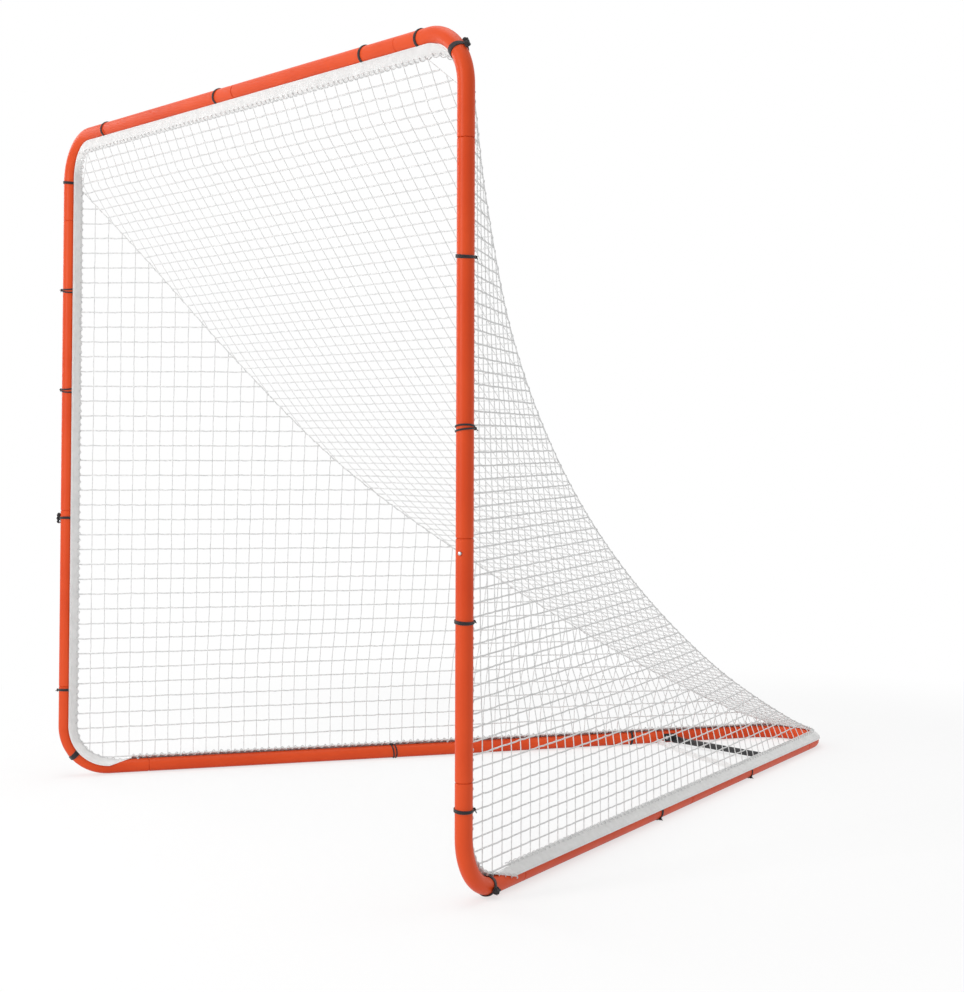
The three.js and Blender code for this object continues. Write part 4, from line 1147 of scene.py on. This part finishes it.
Side = namedtuple("Side", "foot way inward")
right_side = Side(RIGHT_FOOT, -RIGHT_RAIL_WAY, UP.cross(-RIGHT_RAIL_WAY))
left_side = Side(LEFT_FOOT, LEFT_RAIL_WAY, -UP.cross(LEFT_RAIL_WAY))
post_edge = lifting(TAPE_ON_POST_DEG)[0][0]
rail_edge = lifting(TAPE_ON_RAIL_DEG)[0][0]
on_right_post = Vector((*post_edge, 0))
START_ALONG = on_right_post.dot(right_side.way) + EDGE_GAP
START_INWARD = on_right_post.dot(right_side.inward)
FOOT_HEIGHT = RAIL_Z + rail_edge[1] + EDGE_GAP
SEAM_TOP = BAR_Z - SEAM_TOP_DEPTH
SEAM_END = RAIL_LENGTH - SEAM_APEX_DISTANCE
RAIL_INWARD = -rail_edge[0]
CORNER_HEIGHT = RAIL_Z + CORNER_RADIUS
CORNER_ALONG_RADIUS = CORNER_RADIUS - START_ALONG
CORNER_UP_RADIUS = CORNER_HEIGHT - FOOT_HEIGHT


def through(points, per_span):
    """A smooth curve through the points: a centripetal Catmull-Rom spline."""
    points = np.asarray(points, float)
    points = np.concatenate([[2 * points[0] - points[1]], points, [2 * points[-1] - points[-2]]])
    found = []
    for p0, p1, p2, p3 in zip(points, points[1:], points[2:], points[3:]):
        d0, d1, d2 = (math.sqrt(np.linalg.norm(b - a)) for a, b in ((p0, p1), (p1, p2), (p2, p3)))
        t1 = ((p1 - p0) / d0 - (p2 - p0) / (d0 + d1) + (p2 - p1) / d1) * d1
        t2 = ((p2 - p1) / d1 - (p3 - p1) / (d1 + d2) + (p3 - p2) / d2) * d1
        for t in np.arange(per_span) / per_span:
            cubic = 2 * p1 - 2 * p2 + t1 + t2
            square = -3 * p1 + 3 * p2 - 2 * t1 - t2
            found.append(p1 + t1 * t + square * t**2 + cubic * t**3)
    found.append(points[-2])
    return np.array(found)


seam_corners = [
    (
        mixed(START_ALONG, SEAM_END, reach),
        START_INWARD * (1 - reach) + SEAM_INWARD * inward,
        mixed(FOOT_HEIGHT, SEAM_TOP, height),
    )
    for height, reach, inward in seam_shares
]
seam_along, seam_inward, seam_height = through(seam_corners, SEAM_STEPS)[::-1].T


def side_place(side, along, height):
    """Points of a side panel, from distances along the rail and heights."""
    along, height = np.broadcast_arrays(np.asarray(along, float), np.asarray(height, float))
    at_seam = np.interp(height, seam_height, seam_along)
    inward_at_seam = np.interp(height, seam_height, seam_inward)
    share = (height - FOOT_HEIGHT) / (SEAM_TOP - FOOT_HEIGHT)
    run = (along - START_ALONG) / np.maximum(at_seam - START_ALONG, LEAST_WIDTH)
    power = mixed(FOOT_HUG_POWER, 1.0, smooth_step(share, 0, FOOT_HUG_SHARE))
    pull = np.sign(run) * np.abs(run) ** power
    settled = smooth_step(along, START_ALONG, START_ALONG + SETTLE_LENGTH)
    edge = mixed(START_INWARD, RAIL_INWARD * (1 - share), settled)
    inward = mixed(edge, inward_at_seam, pull)
    foot, way, inward_way = np.array(side)
    points = foot + along[:, None] * way + inward[:, None] * inward_way
    points[:, 2] = height
    return points


# The back panel hangs from the tape's lower edge under the crossbar and follows the
# seams down to the apex.
seam_world = side_place(right_side, seam_along[::-1], seam_height[::-1])
top_edge = (
    POST_X - CORNER_RADIUS,
    MOUTH_Y - TAPE_HANG_FRONT - TAPE_THICKNESS / 2,
    BAR_Z - TAPE_HANG_TOP - TAPE_WIDTH - EDGE_GAP,
)
back_line = np.concatenate([[top_edge], seam_world])
back_down = distances(back_line[:, 1:])


def back_place(x, down):
    x, down = np.broadcast_arrays(np.asarray(x, float), np.asarray(down, float))
    return np.concatenate([x[:, None], looked_up(down, back_down, back_line[:, 1:])], 1)


# Net panels

ROW, COLUMN = 0, 1
LOOSE_CELLS = 200
KNOT_JITTER = 0.0007
CORD_SAG = 0.0007
END_ROOM = 0.3  # of half a cell, between a cord's end and its first knot
SHORTEST_CORD = 0.25  # of a cell
LUMP_SIDES = 6
LUMP_RADIUS = 0.0025
LUMP_REACH = 0.9
LUMP_HEIGHT = 0.45
POST_EDGE_POINTS = 60
CORNER_EDGE_POINTS = 14
RAIL_EDGE_POINTS = 90
TOP_EDGE_POINTS = 160


class Panel:
    """A net panel: rows and columns of cord on a surface, with shared, slightly loose knots."""

    def __init__(self, place, origins, cell, cords):
        self.place = place
        self.origins = origins
        self.cell = cell
        self.cords = cords
        self.loose = random.uniform(-1, 1, (2 * LOOSE_CELLS, 2 * LOOSE_CELLS, 2)) * KNOT_JITTER
        self.shape = Shape()
        self.knots = []

    def lay(self, way, start, end, fixed):
        """A cord along a row or a column, with a point at each knot and halfway between."""
        pitch, other = self.cell[way], 1 - way
        if end - start < pitch * SHORTEST_CORD:
            return
        half = pitch / 2
        origin = self.origins[way]
        first = math.ceil((start - origin) / half + END_ROOM)
        last = math.floor((end - origin) / half - END_ROOM)
        steps = np.arange(first, last + 1)
        places = np.full((len(steps) + 2, 2), fixed)
        places[:, way] = [start, *(origin + steps * half), end]
        keys = np.full((len(steps), 2), LOOSE_CELLS)
        keys[:, way] += steps
        keys[:, other] += round((fixed - self.origins[other]) / self.cell[other]) * 2
        places[1:-1] += self.loose[keys[:, 0], keys[:, 1]]
        if way == ROW:
            self.knots.extend(places[1:-1][steps % 2 == 0])
        points = self.place(*places.T)
        points[1:-1, 2] -= steps % 2 * CORD_SAG
        self.shape.cord(points, self.cords[way], NET_SIDES)

    def tie_knots(self):
        """A lump at each knot: two rings between a top and a bottom point."""
        sides = [(c * LUMP_REACH, s * LUMP_REACH) for c, s in circle(LUMP_SIDES)]
        rings = [(x, y, z) for z in (LUMP_HEIGHT, -LUMP_HEIGHT) for x, y in sides]
        lump = np.array([(0, 0, 1), *rings, (0, 0, -1)]) * LUMP_RADIUS
        bottom = 2 * LUMP_SIDES + 1
        faces = []
        for k in range(LUMP_SIDES):
            a, b = k + 1, (k + 1) % LUMP_SIDES + 1
            c, d = a + LUMP_SIDES, b + LUMP_SIDES
            faces += [(0, a, b), (a, c, d, b), (bottom, d, c)]
        for centre in self.place(*np.array(self.knots).T):
            self.shape.add(centre + lump, faces)


def round_corner(depth, deep_radius, other_radius):
    """How far the net's round foot corner reaches at a depth below its start."""
    share = min(max(depth / deep_radius, 0), 1)
    return other_radius * math.sqrt(1 - share**2)


def side_panel(name, side, cell):
    wide, high = cell
    origins = (START_ALONG, FOOT_HEIGHT)
    panel = Panel(lambda u, v: side_place(side, u, v), origins, cell, SIDE_CORDS)
    for k in range(1, int((SEAM_TOP - FOOT_HEIGHT) / high) + 1):
        height = FOOT_HEIGHT + k * high
        depth = CORNER_HEIGHT - height
        start = CORNER_RADIUS - round_corner(depth, CORNER_UP_RADIUS, CORNER_ALONG_RADIUS)
        panel.lay(ROW, start, np.interp(height, seam_height, seam_along), height)
    for j in range(1, int((SEAM_END - START_ALONG) / wide) + 1):
        along = START_ALONG + j * wide
        depth = CORNER_RADIUS - along
        start = CORNER_HEIGHT - round_corner(depth, CORNER_ALONG_RADIUS, CORNER_UP_RADIUS)
        panel.lay(COLUMN, start, np.interp(along, seam_along[::-1], seam_height[::-1]), along)
    panel.tie_knots()

    # The edge: down the post, round the foot corner and along the rail, then up the seam
    angles = np.linspace(math.pi, math.pi * 1.5, CORNER_EDGE_POINTS)
    post_run = np.linspace(SEAM_TOP, CORNER_HEIGHT, POST_EDGE_POINTS)
    foot_run = np.linspace(CORNER_RADIUS, SEAM_END, RAIL_EDGE_POINTS)[1:]
    corner_along = CORNER_RADIUS + CORNER_ALONG_RADIUS * np.cos(angles)
    corner_up = CORNER_HEIGHT + CORNER_UP_RADIUS * np.sin(angles)
    edge_along = [np.full(POST_EDGE_POINTS, START_ALONG), corner_along, foot_run]
    edge_up = [post_run, corner_up, np.full(len(foot_run), FOOT_HEIGHT)]
    edge = side_place(side, np.concatenate(edge_along), np.concatenate(edge_up))
    panel.shape.cord(edge, NET_EDGE_CORD, NET_SIDES)
    seam = side_place(side, seam_along, seam_height)
    panel.shape.cord(seam, SIDE_CORDS[COLUMN], NET_SIDES)
    add_piece(f"{name}_mesh", panel.shape, NET_CORD, stands_for=[name])


def back_panel():
    wide, high = BACK_CELL
    panel = Panel(back_place, (0.0, 0.0), BACK_CELL, BACK_CORDS)
    half_at = back_line[:, 0]
    for k in range(1, int(back_down[-1] / high) + 1):
        half = np.interp(k * high, back_down, half_at)
        panel.lay(ROW, -half, half, k * high)
    widest = int(np.argmax(half_at))
    columns = int(half_at[widest] / wide)
    for j in range(-columns, columns + 1):
        x = j * wide
        end = np.interp(-abs(x), -half_at[widest:], back_down[widest:])
        start = 0.0
        if abs(x) > half_at[0]:
            start = np.interp(abs(x), half_at[: widest + 1], back_down[: widest + 1])
        panel.lay(COLUMN, start, end, x)
    panel.tie_knots()
    edge = np.linspace(-half_at[0], half_at[0], TOP_EDGE_POINTS)
    panel.shape.cord(back_place(edge, 0.0), NET_EDGE_CORD, NET_SIDES)
    for sign in (1, -1):
        line = back_place(sign * half_at, back_down)
        panel.shape.cord(line, BACK_CORDS[COLUMN], NET_SIDES)
    add_piece("net_back_mesh", panel.shape, NET_CORD, stands_for=["net_back"])


side_panel("net_right_side", right_side, RIGHT_CELL)
side_panel("net_left_side", left_side, LEFT_CELL)
back_panel()


# White cord that whips the net's edge to the tape, and the panels to each other

Whip = namedtuple("Whip", "pitch radius cord")
EDGE_WHIP = Whip(0.021, 0.0046, 0.0013)
SEAM_WHIP = Whip(0.04, 0.0024, 0.0009)
WHIP_POINTS = 14
WHIP_SIDES = 5
WHIP_SINK = 0.0012
WHIP_WANDER = ((0.9, 17.0), (0.5, 41.0))  # size, pace


def whipping(name, line, outward, over, whip):
    """A cord that winds round a line. outward and over are the two directions across it."""
    distance = distances(line)
    count = max(4, int(distance[-1] / whip.pitch * WHIP_POINTS))
    places = np.linspace(0, distance[-1], count)
    wander = sum(np.sin(places * pace) * size for size, pace in WHIP_WANDER)
    phase = (2 * math.pi * places / whip.pitch + wander)[:, None]
    centre, outward, over = (looked_up(places, distance, v) for v in (line, outward, over))
    radial = np.cos(phase) * unit(outward) + np.sin(phase) * unit(over)
    path = centre + radial * whip.radius
    keep_above(path, EDGE_WHIP.cord)
    add_piece(name, Shape().cord(path, whip.cord, WHIP_SIDES, radial), NET_CORD)


for name, (inner, outer, _) in tape_lines.items():
    edge = (inner[:, 0] + outer[:, 0]) / 2
    outward = unit(edge - (inner[:, 1] + outer[:, 1]) / 2)
    over = unit(outer[:, 0] - inner[:, 0])
    whipping(f"{name}_whipping", edge - outward * WHIP_SINK, outward, over, EDGE_WHIP)

for side_name, side in (("right", right_side), ("left", left_side)):
    line = side_place(side, seam_along, seam_height)
    inwards, upwards = (np.tile(np.array(way), (len(line), 1)) for way in (side.inward, UP))
    whipping(f"seam_{side_name}_whipping", line, inwards, upwards, SEAM_WHIP)


# Ground strap: on edge between the rails, slack enough to bow towards the mouth

STRAP_HEIGHT = 0.016
STRAP_THICKNESS = 0.0015
STRAP_LEFT_DISTANCE = 0.422
STRAP_RIGHT_DISTANCE = 0.569
STRAP_BOW = 0.022
STRAP_STEPS = 90
STRAP_POINTS = 7
STRAP_WAVE = 0.0015
STRAP_WAVE_PACE = 19
STRAP_LEAN_PACE = 0.21


def add_strap():
    slope = POST_X / APEX_REACH
    ends = []
    for distance, sign in ((STRAP_LEFT_DISTANCE, -1), (STRAP_RIGHT_DISTANCE, 1)):
        y = APEX_REAR_Y - MOUTH_Y - distance
        x = sign * (POST_X - y * slope - (TUBE_RADIUS + GAP) / LEFT_RAIL_WAY.y)
        ends.append(np.array((x, MOUTH_Y + y, 0.0)))
    left, right = ends
    middle = (left + right) / 2 - np.array((0, 2 * STRAP_BOW, 0))
    t = np.linspace(0, 1, STRAP_STEPS)[:, None]
    path = left * (1 - t) ** 2 + middle * 2 * t * (1 - t) + right * t**2
    path[:, 1:2] += STRAP_WAVE * np.sin(t * STRAP_WAVE_PACE) * np.sin(t * math.pi)
    heights = np.linspace(0, STRAP_HEIGHT, STRAP_POINTS) + GAP
    rings = []
    for i, (x, y, _) in enumerate(path):
        lean = STRAP_WAVE * math.sin(i * STRAP_LEAN_PACE)
        lean *= math.sin(math.pi * i / (STRAP_STEPS - 1))
        near = [(x, y + lean * (h / STRAP_HEIGHT), h) for h in heights]
        rings.append(near + [(x, y - STRAP_THICKNESS, z) for x, y, z in near[::-1]])
    places = np.reshape(rings, (-1, 3))[:, [2, 0]]
    add_webbing("strap_webbing", "ground_strap", rings, places)


add_strap()


# Stage and lights

FLOOR_HALF = 30.0
FLOOR_DROP = 0.001
FLOOR_COLOR = (0.98, 0.98, 0.98, 1.0)
STAGE_WHITE = (1.0, 1.0, 1.0, 1.0)
FLOOR_SHADOW_SHARE = 0.35
FLOOR_FADE = (1.5, 2.8)
WORLD_FILL = 0.57


def seen_directly(nodes):
    """1 for what the camera sees, also in a mirror or through glass, 0 for light on things."""
    path = nodes.node("ShaderNodeLightPath")
    factor = path.outputs["Is Camera Ray"]
    for kind in ("Is Glossy Ray", "Is Transmission Ray"):
        add = nodes.node("ShaderNodeMath", "MAXIMUM")
        nodes.link(factor, add.inputs[0])
        nodes.link(path.outputs[kind], add.inputs[1])
        factor = add.outputs["Value"]
    return factor


def add_floor():
    signs = ((-1, -1), (1, -1), (1, 1), (-1, 1))
    corners = [(x * FLOOR_HALF, y * FLOOR_HALF, -FLOOR_DROP) for x, y in signs]
    mesh = bpy.data.meshes.new("floor")
    mesh.from_pydata(corners, [], [(0, 1, 2, 3)])
    floor = add_object("floor", mesh)
    look = bpy.data.materials.new("floor")
    look.use_nodes = True
    look.node_tree.nodes.clear()
    nodes = Nodes(look.node_tree)
    matte = nodes.node("ShaderNodeBsdfDiffuse", Color=FLOOR_COLOR).outputs["BSDF"]
    glow = nodes.node("ShaderNodeEmission", Color=STAGE_WHITE, Strength=1.0)
    distance = nodes.node("ShaderNodeVectorMath", "LENGTH")
    nodes.link(nodes.node("ShaderNodeTexCoord").outputs["Object"], distance.inputs[0])
    fade = nodes.node("ShaderNodeMapRange", From_Min=FLOOR_FADE[0], From_Max=FLOOR_FADE[1])
    fade.interpolation_type = "SMOOTHSTEP"
    fade.inputs["To Min"].default_value = FLOOR_SHADOW_SHARE
    fade.inputs["To Max"].default_value = 0.0
    nodes.link(distance.outputs["Value"], fade.inputs["Value"])
    shown = nodes.blend(fade.outputs["Result"], glow.outputs["Emission"], matte)
    out = nodes.node("ShaderNodeOutputMaterial")
    nodes.link(nodes.blend(seen_directly(nodes), matte, shown), out.inputs["Surface"])
    mesh.materials.append(look)


def add_world():
    world = bpy.data.worlds.new("studio")
    bpy.context.scene.world = world
    world.use_nodes = True
    world.node_tree.nodes.clear()
    nodes = Nodes(world.node_tree)
    seen = nodes.node("ShaderNodeBackground", Color=STAGE_WHITE, Strength=1.0)
    fill = nodes.node("ShaderNodeBackground", Color=STAGE_WHITE, Strength=WORLD_FILL)
    lights = (fill.outputs["Background"], seen.outputs["Background"])
    out = nodes.node("ShaderNodeOutputWorld")
    nodes.link(nodes.blend(seen_directly(nodes), *lights), out.inputs["Surface"])


def add_softbox(name, place, target, size, power):
    data = bpy.data.lights.new(name, "AREA")
    data.shape = "RECTANGLE"
    data.size, data.size_y = size
    data.energy = power
    light = add_object(name, data)
    turn = (Vector(target) - Vector(place)).to_track_quat("-Z", "Y").to_matrix().to_4x4()
    light.matrix_world = Matrix.Translation(place) @ turn


add_floor()
add_world()
add_softbox("key", (0.3, -6.5, 2.6), (0.2, -0.6, 0.9), (1.4, 3.6), 135)
add_softbox("overhead", (0.0, -0.4, 6.0), (0.0, 0.0, 0.0), (4.0, 4.0), 115)
add_softbox("left", (-5.5, -2.0, 2.4), (0.0, 0.0, 0.8), (2.0, 3.0), 45)

bpy.context.scene.view_settings.view_transform = "Standard"
